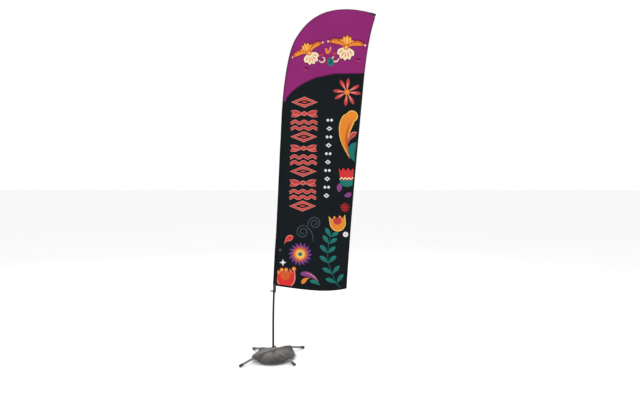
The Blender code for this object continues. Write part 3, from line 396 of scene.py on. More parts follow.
# ---- how the cloth hangs ------------------------------------------------------------------------------
BILLOW = 0.0075
TIP_CORNER = np.array(FLY_KNOTS[0][:2])
TETHER_CORNER = POLE.at(CLOTH_START)[0]
# heading in degrees, width in degrees, height, length of each crease pulled from the tip
TIP_CREASES = [
    (203, 2.2, 0.0026, 0.62), (210, 2.0, -0.0021, 0.70), (217, 2.6, 0.0030, 0.80), (225, 2.4, -0.0026, 0.66),
    (233, 2.8, 0.0027, 0.72), (242, 2.6, -0.0021, 0.60), (250, 3.0, 0.0019, 0.50),
]
FOOT_CREASES = [
    (14, 3.5, 0.0018, 0.55), (27, 4.0, -0.0016, 0.50), (42, 4.5, 0.0020, 0.60), (60, 4.0, -0.0014, 0.55),
    (77, 4.0, 0.0016, 0.60),
]


def smooth_step(value):
    value = np.clip(value, 0.0, 1.0)
    return value * value * (3 - 2 * value)


def creases_from(corner, creases, x, z):
    """Folds that run out from a pulled corner and fade."""
    dx, dz = x - corner[0], z - corner[1]
    distance = np.hypot(dx, dz) + 1e-9
    angle = np.degrees(np.arctan2(dx, dz)) % 360
    lift = np.zeros_like(distance)
    for centre, width, height, reach in creases:
        across = (angle - centre + 180) % 360 - 180
        along = distance / reach
        fade = smooth_step(along * 3.2) * (1 - smooth_step((along - 0.35) / 0.65))
        wander = 1.6 * np.sin(9 * along + centre)
        lift += height * fade * np.exp(-(((across + wander) / width) ** 2))
    return lift


def edge_samples(curve, count):
    """Evenly spaced points on a curve, worked out once."""
    if curve not in SAMPLES:
        SAMPLES[curve] = [tuple(curve.at(s)[0]) for s in np.linspace(0, curve.total, count)]
    return SAMPLES[curve]


SAMPLES = {}


def cloth_lift(x, z):
    """Distance of the cloth from its flat plane: still at the pole, loose at the free edge."""
    x, z = np.atleast_1d(np.asarray(x, float)), np.atleast_1d(np.asarray(z, float))
    from_pole = np.full(x.shape, 9.0)
    for px, pz in edge_samples(POLE, 160):
        from_pole = np.minimum(from_pole, np.hypot(x - px, z - pz))
    loose = smooth_step((from_pole - 0.035) / 0.42)
    billow = np.sin(2.3 * z + 1.6 * x + 0.4) + 0.55 * np.sin(4.9 * z - 3.8 * x + 1.9)
    billow += 0.28 * np.sin(9.5 * z + 6.0 * x + 0.8) + 0.16 * np.sin(17.0 * z - 11.0 * x)
    lift = BILLOW * loose * billow
    near = smooth_step((from_pole - 0.03) / 0.05) * np.exp(-from_pole / 0.075)
    lift += near * 0.0016 * (np.sin(58 * z + 8 * np.sin(3.1 * z)) + 0.6 * np.sin(91 * z + 31 * x + 1.0))
    from_hem = np.full(x.shape, 9.0)
    for edge in (FLY_EDGE, FOOT_EDGE):
        for px, pz in edge_samples(edge, 90):
            from_hem = np.minimum(from_hem, np.hypot(x - px, z - pz))
    calm = smooth_step((from_pole - 0.02) / 0.10) * (0.2 + 0.8 * smooth_step(from_hem / 0.09))
    creases = creases_from(TIP_CORNER, TIP_CREASES, x, z) + creases_from(TETHER_CORNER, FOOT_CREASES, x, z)
    lift += creases * calm
    return lift


def placed(points):
    """Puts (x, y, z) points of flat cloth, measured from the pole's axis, where they hang."""
    points = np.asarray(points, float)
    lifted = points.copy()
    lifted[:, 1] += cloth_lift(points[:, 0], points[:, 2]) + POLE_Y
    lifted[:, 0] += POLE_X
    return lifted


# ---- shapes of the print: generic flowers, leaves and a border ----------------------------------------
PRINT = []  # (ink, outline) from the lowest layer up, in metres from the pole's foot


def ink(name, outline):
    PRINT.append((name, [(float(x), float(z)) for x, z in outline]))


def round_outline(centre, radius, count=28, tall=1.0, turn=0.0, wave=None):
    """A closed outline about a centre; wave(angle) scales the radius."""
    spots = []
    c, s = math.cos(math.radians(turn)), math.sin(math.radians(turn))
    for i in range(count):
        angle = 2 * math.pi * i / count
        r = radius * (wave(angle) if wave else 1.0)
        x, z = r * math.cos(angle), r * tall * math.sin(angle)
        spots.append((centre[0] + c * x - s * z, centre[1] + s * x + c * z))
    return spots


def ribbon(points, widths):
    """Outline of a band along points, as wide as asked at each."""
    points = np.asarray(points, float)
    widths = np.interp(np.linspace(0, 1, len(points)), np.linspace(0, 1, len(widths)), widths)
    steps = np.gradient(points, axis=0)
    steps /= np.linalg.norm(steps, axis=1)[:, None] + 1e-12
    side = np.column_stack((steps[:, 1], -steps[:, 0])) * widths[:, None] / 2
    return np.vstack((points + side, (points - side)[::-1]))


def bent(start, end, bulge, count=12):
    """Points from start to end, bowed to the right by a share of the span."""
    start, end = np.array(start, float), np.array(end, float)
    span = end - start
    right = np.array((span[1], -span[0]))
    t = np.linspace(0, 1, count)[:, None]
    return start + t * span + 4 * t * (1 - t) * bulge * right


def smooth_line(points, count=26):
    """Points of a soft curve through a few given ones."""
    points = np.asarray(points, float)
    padded = np.vstack((2 * points[0] - points[1], points, 2 * points[-1] - points[-2]))
    spots = []
    for t in np.linspace(0, len(points) - 1 - 1e-9, count):
        k, u = int(t), t - int(t)
        a, b, c, d = padded[k : k + 4]
        square, cube = 2 * a - 5 * b + 4 * c - d, 3 * b - a - 3 * c + d
        spots.append(0.5 * (2 * b + (c - a) * u + square * u * u + cube * u**3))
    return spots


def leaf(start, end, width, bulge=0.0, fat=0.55, count=13):
    """A leaf or petal from its base to its tip, fattest a share of the way along."""
    t = np.linspace(0, 1, count)
    peak = math.log(0.5) / math.log(fat)
    return ribbon(bent(start, end, bulge, count), width * np.sin(np.pi * t**peak) ** 0.85)


def from_angle(centre, degrees, distance):
    a = math.radians(degrees)
    return (centre[0] + distance * math.cos(a), centre[1] + distance * math.sin(a))


def petals(name, centre, inner, outer, width, count, turn=0.0, bulge=0.0, fat=0.6):
    for i in range(count):
        angle = turn + 360 * i / count
        start, end = from_angle(centre, angle, inner), from_angle(centre, angle, outer)
        ink(name, leaf(start, end, width, bulge, fat))


def spiral(centre, radius, turns, start, width, hand=1, count=34):
    """A curl that tightens towards its centre."""
    spots = []
    for i in range(count):
        share = i / (count - 1)
        angle = start + hand * 360 * turns * share
        spots.append(from_angle(centre, angle, radius * (1 - 0.82 * share)))
    ink("slate", ribbon(spots, [width, width, width * 0.8]))


def tulip(centre, size, lean, outer, inner, rim, points=3):
    """A cup of pointed petals."""
    c, s = math.cos(math.radians(lean)), math.sin(math.radians(lean))

    def turned(spots):
        return [(centre[0] + size * (c * x - s * z), centre[1] + size * (s * x + c * z)) for x, z in spots]

    def cup(half, depth, height):
        bowl = [(half * math.cos(a), -depth * math.sin(a)) for a in np.linspace(0, math.pi, 15)]
        teeth = []
        for k in range(2 * points - 1):
            x = -half + 2 * half * (k + 1) / (2 * points)
            teeth.append((x, height * (0.45 if k % 2 == 0 else 0.95)))
        left, right = (-half * 1.02, height), (half * 1.02, height)
        return bowl + [left] + teeth + [right]

    ink(rim, turned(cup(0.56, 0.60, 0.52)))
    ink(outer, turned(cup(0.50, 0.54, 0.46)))
    ink(inner, turned([(0.30 * x, 0.30 * z + 0.14) for x, z in cup(0.95, 0.9, 1.0)]))


def fan_flower(centre, size, lean, hand):
    """Golden petals in a fan, orange leaves below them, and a hanging cream bell with its tendril."""
    def at(x, z):
        a = math.radians(lean)
        x *= hand
        return (centre[0] + size * (x * math.cos(a) - z * math.sin(a)),
                centre[1] + size * (x * math.sin(a) + z * math.cos(a)))

    def both(name, start, end, width, bulge, fat=0.55):
        ink(name, leaf(at(*start), at(*end), width * size, bulge * hand, fat))

    fans = [(-0.24, 0.30), (-0.13, 0.42), (0.0, 0.47), (0.13, 0.42), (0.24, 0.30)]
    bells = [(-0.30, -0.26), (-0.17, -0.41), (0.0, -0.46), (0.17, -0.41), (0.30, -0.26)]
    for x, z in fans:
        both("magenta_dark", (0.0, 0.02), (1.08 * x, 1.07 * z), 0.23, 0)
    for x, z in bells:
        both("magenta_dark", (0.0, 0.06), (1.08 * x, 1.06 * z), 0.27, 0, 0.66)
    for side in (-1, 1):
        both("magenta_dark", (0.0, 0.02), (0.70 * side, 0.15), 0.27, -0.16 * side, 0.6)
    for x, z in bells:
        both("cream", (0.0, 0.06), (x, z), 0.21, 0, 0.66)
    for x, z in bells:
        both("pink", (0.3 * x, 0.3 * z), (0.78 * x, 0.78 * z), 0.050, 0, 0.6)
    for x, z in fans[::4] + fans[1:4:2] + fans[2:3]:
        both("orange", (0.0, 0.0), (x, z), 0.17, 0)
        both("yellow", (0.25 * x, 0.25 * z), (0.9 * x, 0.9 * z), 0.085, 0)
    for side in (-1, 1):
        both("orange_deep", (0.0, 0.02), (0.66 * side, 0.15), 0.20, -0.16 * side, 0.6)
        both("orange", (0.06 * side, 0.02), (0.58 * side, 0.13), 0.10, -0.16 * side, 0.6)
        for k in range(4):
            share = 0.26 + 0.17 * k
            spot = bent((0.0, 0.02), (0.66 * side, 0.15), -0.16 * side, 21)[int(20 * share)]
            ink("yellow", round_outline(at(*spot), 0.022 * size, 8))
        ink("cream", round_outline(at(0.67 * side, 0.16), 0.036 * size, 14))
    ink("orange_deep", round_outline(at(0.0, 0.02), 0.095 * size, 22))
    ink("yellow", round_outline(at(0.0, 0.02), 0.055 * size, 16))
    tendril = smooth_line([
        at(0.22, -0.40), at(0.27, -0.50), at(0.36, -0.53), at(0.44, -0.48), at(0.45, -0.39), at(0.39, -0.36),
    ])
    ink("cream", ribbon(tendril, [0.03 * size, 0.050 * size, 0.050 * size, 0.042 * size, 0.02 * size]))
    both("red", (0.30, -0.22), (0.50, -0.24), 0.09, 0.12)


def arch_z(x):
    """Height of the line where the two grounds meet."""
    across = [0.0, 0.109, 0.1875, 0.2925, 0.424, 0.569, 0.6345, 0.936, 1.2]
    up = [2.50, 2.642, 2.735, 2.813, 2.879, 2.912, 2.925, 2.928, 2.93]
    return np.interp(x, across, up)


def print_grounds():
    """Magenta head over a night-blue field, with darker edges."""
    spots = np.linspace(-0.2, 1.3, 60)
    ink("night", [(-0.2, 0.4), (1.3, 0.4), *[(x, arch_z(x)) for x in spots[::-1]]])
    ink("magenta", [*[(x, arch_z(x)) for x in spots], (1.3, 4.0), (-0.2, 4.0)])
    ink("magenta_dark", ribbon([(x, arch_z(x)) for x in spots], [0.010]))
    fly = [FLY_EDGE.at(s)[0] for s in np.linspace(0, FLY_EDGE.total, 60)]
    ink("black", ribbon([p for p in fly if p[1] < arch_z(p[0])], [0.030]))
    ink("magenta_dark", ribbon([p for p in fly if p[1] > arch_z(p[0])], [0.020]))
    foot = [FOOT_EDGE.at(s)[0] for s in np.linspace(0, FOOT_EDGE.total, 30)]
    ink("black", ribbon(foot, [0.040]))


def print_head():
    fan_flower((0.372, 3.130), 0.262, 26, 1)
    fan_flower((0.752, 3.190), 0.286, -6, -1)
    ink("orange", ribbon(bent((0.545, 3.185), (0.590, 3.175), 0.85), [0.022, 0.030, 0.018]))
    ink("pink", leaf((0.585, 3.160), (0.592, 3.205), 0.020))
    ink("teal", round_outline((0.592, 3.046), 0.034, 26, 1.3, 10))
    ink("teal_deep", leaf((0.580, 3.016), (0.606, 3.076), 0.022))
    ink("magenta_dark", leaf((0.315, 2.985), (0.375, 2.968), 0.016, -0.1))
    ink("red", leaf((0.300, 2.975), (0.350, 2.958), 0.012, 0.1))
    ink("magenta_dark", leaf((0.845, 3.075), (0.905, 3.060), 0.016, -0.1))
    ink("red", leaf((0.855, 3.062), (0.905, 3.050), 0.012, 0.1))


DAISY = (0.760, 2.734)


def print_daisy():
    for i in range(8):
        angle = 33 + 45 * i + (6 if i % 2 else -4)
        ink("red", leaf(from_angle(DAISY, angle, 0.020), from_angle(DAISY, angle, 0.146), 0.037, fat=0.62))
        ink("pink", leaf(from_angle(DAISY, angle, 0.022), from_angle(DAISY, angle, 0.105), 0.014, fat=0.5))
    ink("orange_deep", round_outline(DAISY, 0.033, 20))
    ink("orange", round_outline(DAISY, 0.024, 18))


COLUMN_TOP = (0.322, 2.630)
COLUMN_FOOT = (0.302, 1.560)
COLUMN_WIDTH = 0.275
COLUMN_UNITS = 10


def banded(outline_of, stroke):
    """A red shape with a pink rim, hollow where stroke is given."""
    ink("pink", outline_of(0.0))
    ink("red", outline_of(0.005))
    if stroke:
        ink("pink", outline_of(stroke - 0.005))
        ink("night", outline_of(stroke))


def print_column():
    """A red border of lozenges, waves and leaf pairs up the sleeve's side."""
    for k in range(COLUMN_UNITS):
        share = k / (COLUMN_UNITS - 1)
        cx = COLUMN_TOP[0] + share * (COLUMN_FOOT[0] - COLUMN_TOP[0])
        cz = COLUMN_TOP[1] + share * (COLUMN_FOOT[1] - COLUMN_TOP[1])
        half = COLUMN_WIDTH / 2
        kind = k % 3
        if kind == 0:
            def lozenge(inset, cx=cx, cz=cz):
                w, h = half - 2.0 * inset, 0.056 - 1.15 * inset
                return [(cx - w, cz), (cx, cz - h), (cx + w, cz), (cx, cz + h)]
            banded(lozenge, 0.026)
            ink("red", [(cx - 0.034, cz), (cx, cz - 0.013), (cx + 0.034, cz), (cx, cz + 0.013)])
        elif kind == 1:
            for side in (-1, 1):
                for up in (-1, 1):
                    start, end = (cx + side * 0.012, cz + up * 0.006), (cx + side * half, cz + up * 0.034)
                    ink("pink", leaf(start, end, 0.050, side * up * 0.10))
                    ink("red", leaf(start, end, 0.038, side * up * 0.10))
            ink("pink", round_outline((cx, cz), 0.024, 18))
            ink("red", round_outline((cx, cz), 0.018, 18))
        else:
            for up in (-0.030, 0.030):
                t = np.linspace(-1, 1, 33)
                crest = [(cx + half * v, cz + up + 0.011 * math.cos(3 * math.pi * v)) for v in t]
                ink("pink", ribbon(crest, [0.030]))
                ink("red", ribbon(crest, [0.021]))


SMALL_TOP = (0.582, 2.444)
SMALL_FOOT = (0.548, 1.667)
SMALL_UNITS = 10


def print_small_column():
    """Small white marks: diamonds between leaf pairs."""
    for k in range(SMALL_UNITS):
        share = k / (SMALL_UNITS - 1)
        cx = SMALL_TOP[0] + share * (SMALL_FOOT[0] - SMALL_TOP[0])
        cz = SMALL_TOP[1] + share * (SMALL_FOOT[1] - SMALL_TOP[1])
        if k % 2:
            ink("white", [(cx - 0.030, cz), (cx, cz - 0.024), (cx + 0.030, cz), (cx, cz + 0.024)])
            ink("night", [(cx - 0.013, cz), (cx, cz - 0.010), (cx + 0.013, cz), (cx, cz + 0.010)])
        else:
            for side in (-1, 1):
                ink("white", leaf((cx + side * 0.004, cz), (cx + side * 0.034, cz), 0.030, 0, 0.5))


PLUME = [(0.816, 2.500), (0.768, 2.440), (0.738, 2.350), (0.731, 2.250), (0.751, 2.150), (0.787, 2.050)]


def print_right_side():
    plume = smooth_line(PLUME)
    ink("yellow", ribbon(plume, [0.070, 0.140, 0.136, 0.104, 0.066, 0.032, 0.002]))
    ink("yellow", round_outline((0.812, 2.484), 0.060, 26))
    ink("orange", ribbon(plume, [0.060, 0.122, 0.118, 0.088, 0.052, 0.020, 0.001]))
    ink("orange", round_outline((0.812, 2.484), 0.051, 26))
    vein = smooth_line([(0.812, 2.440), (0.776, 2.370), (0.756, 2.280), (0.758, 2.180), (0.784, 2.080)])
    ink("orange_deep", ribbon(vein, [0.002, 0.012, 0.022, 0.030, 0.022, 0.002]))
    ink("pink", leaf((0.776, 2.196), (0.862, 2.320), 0.050, -0.16, 0.7))
    ink("red", leaf((0.780, 2.204), (0.858, 2.314), 0.036, -0.16, 0.7))
    ink("teal", leaf((0.850, 2.008), (0.880, 2.216), 0.116, -0.20, 0.60))
    ink("teal_deep", leaf((0.856, 2.026), (0.882, 2.176), 0.016, -0.20))
    bloom = (0.762, 1.838)
    cup = [
        (-0.086, 0.112), (-0.062, 0.080), (-0.040, 0.116), (-0.014, 0.082), (0.010, 0.116), (0.034, 0.080),
        (0.058, 0.108), (0.082, 0.080), (0.080, 0.0), (0.0, -0.026), (-0.074, 0.008),
    ]
    ink("red_bright", [(bloom[0] + x, bloom[1] + z) for x, z in cup])
    for x in (-0.040, 0.010, 0.058):
        ink("red", leaf((bloom[0] + x * 0.7, bloom[1]), (bloom[0] + x, bloom[1] + 0.100), 0.016))
    base = [(0.078 * math.cos(a), -0.010 - 0.072 * math.sin(a)) for a in np.linspace(0, math.pi, 16)]
    ink("teal", [(bloom[0] + x, bloom[1] + z) for x, z in base])
    zigzag = [(-0.076 + 0.019 * k, 0.004 + (0.010 if k % 2 else -0.008)) for k in range(9)]
    ink("cream", ribbon([(bloom[0] + x, bloom[1] + z) for x, z in zigzag], [0.014]))
    ink("purple", leaf((0.674, 1.700), (0.680, 1.796), 0.056, 0.05, 0.55))
    ink("purple", leaf((0.728, 1.664), (0.806, 1.694), 0.050, 0.08, 0.55))
    star = (0.7385, 1.545)
    petals("red_bright", star, 0.004, 0.052, 0.0070, 12, fat=0.6)
    ink("red", round_outline(star, 0.008, 14))
    tulip((0.664, 1.388), 0.148, 6, "orange", "red", "yellow", 3)
    ink("white", round_outline((0.745, 1.269), 0.027, 22))
    ink("pink", round_outline((0.745, 1.269), 0.009, 12))


STEM = [(0.596, 1.300), (0.585, 1.238), (0.572, 1.166), (0.558, 1.070), (0.569, 0.968), (0.609, 0.856),
        (0.653, 0.760), (0.690, 0.722)]
STEM_LEAF = 0.108
STEM_LEAF_WIDTH = 0.043


def print_sprig():
    """A long stem with a pair of leaves at each joint."""
    path = Curve(STEM)
    spots = [path.at(s)[0] for s in np.linspace(0, path.total, 24)]
    ink("teal_deep", ribbon(spots, [0.006, 0.010]))
    for k, joint in enumerate(STEM[1:-1]):
        grow = STEM_LEAF * (1 + 0.035 * k)
        left = from_angle(joint, 116 + 8 * k, grow)
        right = from_angle(joint, 29 + 5 * k, grow * 0.95)
        ink("teal", leaf(joint, left, STEM_LEAF_WIDTH, 0.05, 0.62))
        ink("teal", leaf(joint, right, STEM_LEAF_WIDTH * 0.95, -0.05, 0.62))
        ink("teal_deep", leaf(joint, (np.array(joint) * 0.25 + np.array(left) * 0.75), 0.006, 0.05))
        ink("teal_deep", leaf(joint, (np.array(joint) * 0.25 + np.array(right) * 0.75), 0.006, -0.05))


def print_foot():
    spiral((0.305, 1.293), 0.068, 1.75, 75, 0.009, 1)
    spiral((0.4285, 1.384), 0.065, 1.75, 160, 0.009, -1)
    ink("slate", ribbon(bent((0.330, 1.356), (0.408, 1.195), -0.16), [0.008, 0.010, 0.004]))
    ink("slate", ribbon(bent((0.367, 1.406), (0.356, 1.352), 0.05), [0.008]))
    ink("pink", leaf((0.112, 1.168), (0.208, 1.246), 0.060, -0.12, 0.68))
    ink("red_bright", leaf((0.118, 1.174), (0.203, 1.242), 0.046, -0.12, 0.68))
    ink("slate", round_outline((0.071, 1.105), 0.015, 16))
    glint = [from_angle((0.100, 0.978), 45 * k, 0.036 if k % 2 == 0 else 0.014) for k in range(8)]
    ink("white", glint)
    pinwheel = (0.278, 1.064)
    petals("violet", pinwheel, 0.030, 0.124, 0.030, 16, 0, 0.10, 0.6)
    petals("purple", pinwheel, 0.030, 0.112, 0.018, 16, 0, 0.10, 0.6)
    petals("orange_deep", pinwheel, 0.014, 0.086, 0.022, 16, 11, 0.06, 0.6)
    petals("yellow", pinwheel, 0.010, 0.060, 0.013, 16, 0, 0.0, 0.6)
    ink("yellow", round_outline(pinwheel, 0.030, 24))
    ink("teal", round_outline(pinwheel, 0.021, 20))
    tulip((0.130, 0.822), 0.178, 5, "red_bright", "orange_deep", "pink", 4)
    seeds = ((0.045, 0.880, 0.020), (0.088, 0.902, 0.022), (0.133, 0.904, 0.021), (0.213, 0.912, 0.023))
    for x, z, r in seeds:
        ink("orange_deep", round_outline((x, z), r, 18))
        ink("yellow", round_outline((x, z), 0.62 * r, 14))
        ink("red_bright", round_outline((x, z), 0.30 * r, 10))
    ink("purple", leaf((0.278, 0.862), (0.460, 0.786), 0.052, -0.14, 0.32))
    ink("pink", ribbon(bent((0.330, 0.872), (0.466, 0.780), -0.12), [0.002, 0.009, 0.002]))
    ink("orange", leaf((0.388, 0.820), (0.296, 0.756), 0.044, 0.16, 0.70))
    ink("teal", leaf((0.376, 0.786), (0.482, 0.742), 0.040, -0.12, 0.36))


def draw_print():
    print_grounds()
    print_head()
    print_daisy()
    print_column()
    print_small_column()
    print_right_side()
    print_sprig()
    print_foot()


# ---- the printed cloth --------------------------------------------------------------------------------
PANEL_BITE = 0.004
CORNER_CUT = 0.031
EDGE_INSET = 0.0014
LAYERS = {
    "flag_front_print": (-0.0010, -0.0005),
    "flag_inner_lining": (-0.0002, 0.0002),
    "flag_back_print": (0.0005, 0.0010),
}
CLOTH_GRID = 0.017
OUTLINE_STEP = 0.012


def panel_outline():
    """Outline of the layers, from the foot of the sleeve over the arch and down the free edge."""
    spots = []
    for s in np.arange(CLOTH_START, POLE.total - 0.002, OUTLINE_STEP):
        point, _, right = POLE.at(s)
        spots.append(point + (sleeve_radius(s) + PANEL_BITE) * right)
    for s in np.arange(CORNER_CUT, FLY_EDGE.total - EDGE_INSET, OUTLINE_STEP):
        point, _, right = FLY_EDGE.at(s)
        spots.append(point + EDGE_INSET * right)
    first = 0.030
    for s in np.arange(FOOT_EDGE.total - 0.012, first, -OUTLINE_STEP):
        point, _, right = FOOT_EDGE.at(s)
        spots.append(point - EDGE_INSET * right)
    return np.array(spots)


def inside(outline, x, z):
    """Which of the points lie inside a closed outline."""
    hit = np.zeros(len(x), bool)
    ends = np.roll(outline, -1, axis=0)
    for (x0, z0), (x1, z1) in zip(outline, ends):
        if z0 == z1:
            continue
        crosses = (z0 > z) != (z1 > z)
        hit ^= crosses & (x < (x1 - x0) * (z - z0) / (z1 - z0) + x0)
    return hit


def meshed(outline, shapes, step):
    """Triangles that fill the outline and follow every printed edge."""
    low, high = outline.min(axis=0), outline.max(axis=0)
    grid = []
    for row, z in enumerate(np.arange(low[1], high[1], step * 0.87)):
        for x in np.arange(low[0] + (row % 2) * step / 2, high[0], step):
            grid.append((x, z))
    grid = np.array(grid)
    grid = grid[inside(outline, grid[:, 0], grid[:, 1])]
    near = np.full(len(grid), 9.0)
    for x, z in outline:
        near = np.minimum(near, np.hypot(grid[:, 0] - x, grid[:, 1] - z))
    grid = grid[near > step * 0.45]
    spots = [Vector(p) for p in outline]
    edges = [(i, (i + 1) % len(outline)) for i in range(len(outline))]
    for _, shape in shapes:
        start = len(spots)
        spots += [Vector(p) for p in shape]
        edges += [(start + i, start + (i + 1) % len(shape)) for i in range(len(shape))]
    spots += [Vector(p) for p in grid]
    found = delaunay_2d_cdt(spots, edges, [], 0, 1e-6)
    points = np.array([tuple(v) for v in found[0]])
    faces = np.array([face for face in found[2] if len(face) == 3])
    middle = points[faces].mean(axis=1)
    faces = faces[inside(outline, middle[:, 0], middle[:, 1])]
    used, renumbered = np.unique(faces, return_inverse=True)
    return points[used], renumbered.reshape(faces.shape)


def ink_numbers(points, faces, names):
    """The topmost ink at the middle of every triangle."""
    middle = points[faces].mean(axis=1)
    numbers = np.zeros(len(faces), int)
    for name, shape in PRINT:
        shape = np.array(shape)
        low, high = shape.min(axis=0), shape.max(axis=0)
        close = np.where(((middle >= low) & (middle <= high)).all(axis=1))[0]
        hit = close[inside(shape, middle[close, 0], middle[close, 1])]
        numbers[hit] = names.index(name)
    return numbers


def layer_solid(name, points, faces, numbers, span, materials):
    """A thin closed sheet: both sides carry the same triangles, with walls round the edge."""
    flat = [(x, y, z) for y in span for x, z in points]
    verts = placed(flat)
    count = len(points)
    sides = [tuple(face) for face in faces] + [tuple(face[::-1] + count) for face in faces]
    seen = {}
    for face in faces:
        for a, b in zip(face, np.roll(face, -1)):
            seen[(a, b)] = True
    walls = [(a, b, b + count, a + count) for a, b in seen if (b, a) not in seen]
    every = sides + walls
    inks = list(numbers) + list(numbers) + [0] * len(walls)
    obj = add_object(name, verts, every, materials, inks, angle=50)
    return outward(obj)


def make_panels():
    outline = panel_outline()
    names = list(INKS)
    materials = [ink_material(name) for name in names]
    draw_print()
    points, faces = meshed(outline, PRINT, CLOTH_GRID)
    numbers = ink_numbers(points, faces, names)
    panels = []
    for name, span in LAYERS.items():
        if name == "flag_inner_lining":
            lining = cloth_material("lining_knit", linear(16, 16, 18))
            obj = layer_solid(name, points, faces, [0] * len(faces), span, [lining])
        else:
            obj = layer_solid(name, points, faces, numbers, span, materials)
        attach(obj, "mast")
        panels.append(obj)
    nodes = ("flag_front_panel", "flag_liner", "flag_back_panel")
    for obj, node, slot in zip(panels, nodes, ("print", "lining", "print")):
        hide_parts(node)
    return panels


# ---- sleeve, pocket and hems --------------------------------------------------------------------------
POCKET_LENGTH = 0.050
POCKET_REACH = 0.009
SLOT_HALF = 0.0014


def drop_loop(bore, wall, tail, arcs=11):
    """A drop of cloth round the pole, open at its tail where the layers are sewn in."""
    outside, reach = SLOT_HALF + wall, bore + wall + tail
    arc = np.radians(np.linspace(48, 312, arcs))
    bend = bore + wall + 0.42 * tail
    outer = [((bore + wall) * math.cos(a), (bore + wall) * math.sin(a)) for a in arc]
    inner = [(bore * math.cos(a), bore * math.sin(a)) for a in arc]
    swell = 0.16 * bore
    loop = [(reach, outside), (bend, outside + swell), *outer, (bend, -outside - swell), (reach, -outside)]
    loop += [(reach, -SLOT_HALF), (bend, -SLOT_HALF - swell), *inner[::-1]]
    loop += [(bend, SLOT_HALF + swell), (reach, SLOT_HALF)]
    return loop


def ring_on(curve, length, loop):
    point, _, right = curve.at(length)
    return [(point[0] + u * right[0], v, point[1] + u * right[1]) for u, v in loop]


def ring_hung(curve, length, loop):
    return [Vector(p) for p in placed(ring_on(curve, length, loop))]


def make_sleeve():
    """The pole's sleeve, slightly gathered along its length, with painted shade down its rounded outer side.
    """
    names = ["black", "night", "magenta_dark", "magenta"]
    materials = [ink_material(name) for name in names]
    stops = np.linspace(CLOTH_START, POLE.total - POCKET_LENGTH - GAP, 260)
    rings, inks = [], []
    for k, s in enumerate(stops):
        loop = drop_loop(sleeve_radius(s), SLEEVE_WALL, SLEEVE_TAIL)
        outer_count = len(loop) // 2
        gathered = []
        for i, (u, v) in enumerate(loop):
            away = max(0.0, -u) / (abs(u) + abs(v) + 1e-9) if i < outer_count else 0.0
            folds = math.sin(210 * s + 2.1 * i) * math.sin(37 * s) + 0.4 * math.sin(430 * s)
            swell = 1 + 0.05 * away * folds
            gathered.append((u * swell, v * swell))
        rings.append(ring_hung(POLE, s, gathered))
        if k < len(stops) - 1:
            point = POLE.at(s)[0]
            head = point[1] > arch_z(point[0])
            # Painted shade: the sleeve's outer side, away from the cloth, takes the darker ink (magenta_dark
            # in the head, black below) where the round sleeve turns away from the light.
            for i, (u, _) in enumerate(loop):
                edge = u < (0.0 if head else 0.003)
                inks.append((2 if edge else 3) if head else (0 if edge else 1))
    return lofted("flag_pole_sleeve", rings, materials, inks)


def make_pocket():
    """The reinforced end of the sleeve, closed over the tip of the pole."""
    start, end = POLE.total - POCKET_LENGTH, POLE.total + POCKET_REACH
    bore = TIP_RADIUS + 2 * GAP + 0.0013 + 0.0004
    wall = 0.0012
    rings = [ring_hung(POLE, s, drop_loop(bore, wall, SLEEVE_TAIL)) for s in np.linspace(start, end, 22)]
    verts = [p for ring in rings for p in ring]
    count = len(rings[0])
    faces = ring_faces(len(rings), count)
    faces.append(tuple(range(count)))
    half = count // 2
    outer = drop_loop(bore, wall, SLEEVE_TAIL)[:half]
    lid = []
    for share, out in ((1.0, 0.0), (0.96, 0.0007), (0.80, 0.0015), (0.45, 0.0021)):
        lid.append(ring_hung(POLE, end + out, [(0.004 + (u - 0.004) * share, v * share) for u, v in outer]))
    lid_verts = [p for ring in lid for p in ring]
    lid_faces = ring_faces(len(lid), half)
    lid_faces.append(tuple(range(half)))
    lid_faces.append(tuple(range((len(lid) - 1) * half, len(lid) * half)))
    last = tuple(range((len(rings) - 1) * count, len(rings) * count))
    solids = [(verts, faces + [last]), (lid_verts, lid_faces)]
    return joined("flag_tip_pocket", solids, [webbing_material("pocket_webbing", linear(26, 8, 22), 0.08)])


def hem_loop(width):
    """A strip folded over the edge, open towards the cloth."""
    wall, fold = 0.0008, 0.0007
    outer = SLOT_HALF + wall
    front = [
        (width, outer), (0.72 * width, outer + 0.0002), (0.5 * width, outer), (0.2 * width, outer + 0.0001),
        (fold, outer), (0.0, 0.5 * outer),
    ]
    spots = front + [(u, -v) for u, v in reversed(front)]
    spots += [(width, -SLOT_HALF), (0.5 * width, -SLOT_HALF), (0.0012, -SLOT_HALF), (0.0012, SLOT_HALF),
              (0.5 * width, SLOT_HALF), (width, SLOT_HALF)]
    return spots


def make_hem(name, curve, first, last, width, side, split):
    """split names, for the outer and inner half, the ink below and above the arch."""
    names = sorted({ink_name for pair in split for ink_name in pair})
    materials = [ink_material(ink_name) for ink_name in names]
    loop = [(side * u, v) for u, v in hem_loop(width)]
    stops = np.linspace(first, last, int((last - first) / 0.013))
    rings, inks = [], []
    for k, s in enumerate(stops):
        rings.append(ring_hung(curve, s, loop))
        point = curve.at(s)[0]
        head = point[1] > arch_z(point[0])
        if k < len(stops) - 1:
            for u, _ in loop:
                pair = split[0] if abs(u) < 0.45 * width else split[1]
                inks.append(names.index(pair[1] if head else pair[0]))
    return lofted(name, rings, materials, inks)


# ---- stitching and webbing ----------------------------------------------------------------------------
STITCH_LENGTH = 0.0034
STITCH_STEP = 0.0060
STITCH_WIDTH = 0.0006


def stitch_solid(spot, along, aside, out):
    """One stitch: a small rounded bar lying on the cloth."""
    spot, along, aside, out = Vector(spot), Vector(along), Vector(aside), Vector(out)
    rings = []
    for share, scale in ((-0.5, 0.35), (-0.32, 1.0), (0.32, 1.0), (0.5, 0.35)):
        centre = spot + along * share
        arch = ((-1, 0), (-0.6, 1), (0.6, 1), (1, 0))
        ring = [centre + aside * (u * scale) + out * (v * scale) for u, v in arch]
        rings.append(ring)
    verts = [p for ring in rings for p in ring]
    faces = ring_faces(4, 4)
    faces += [(0, 1, 2, 3), (12, 13, 14, 15)]
    return verts, faces


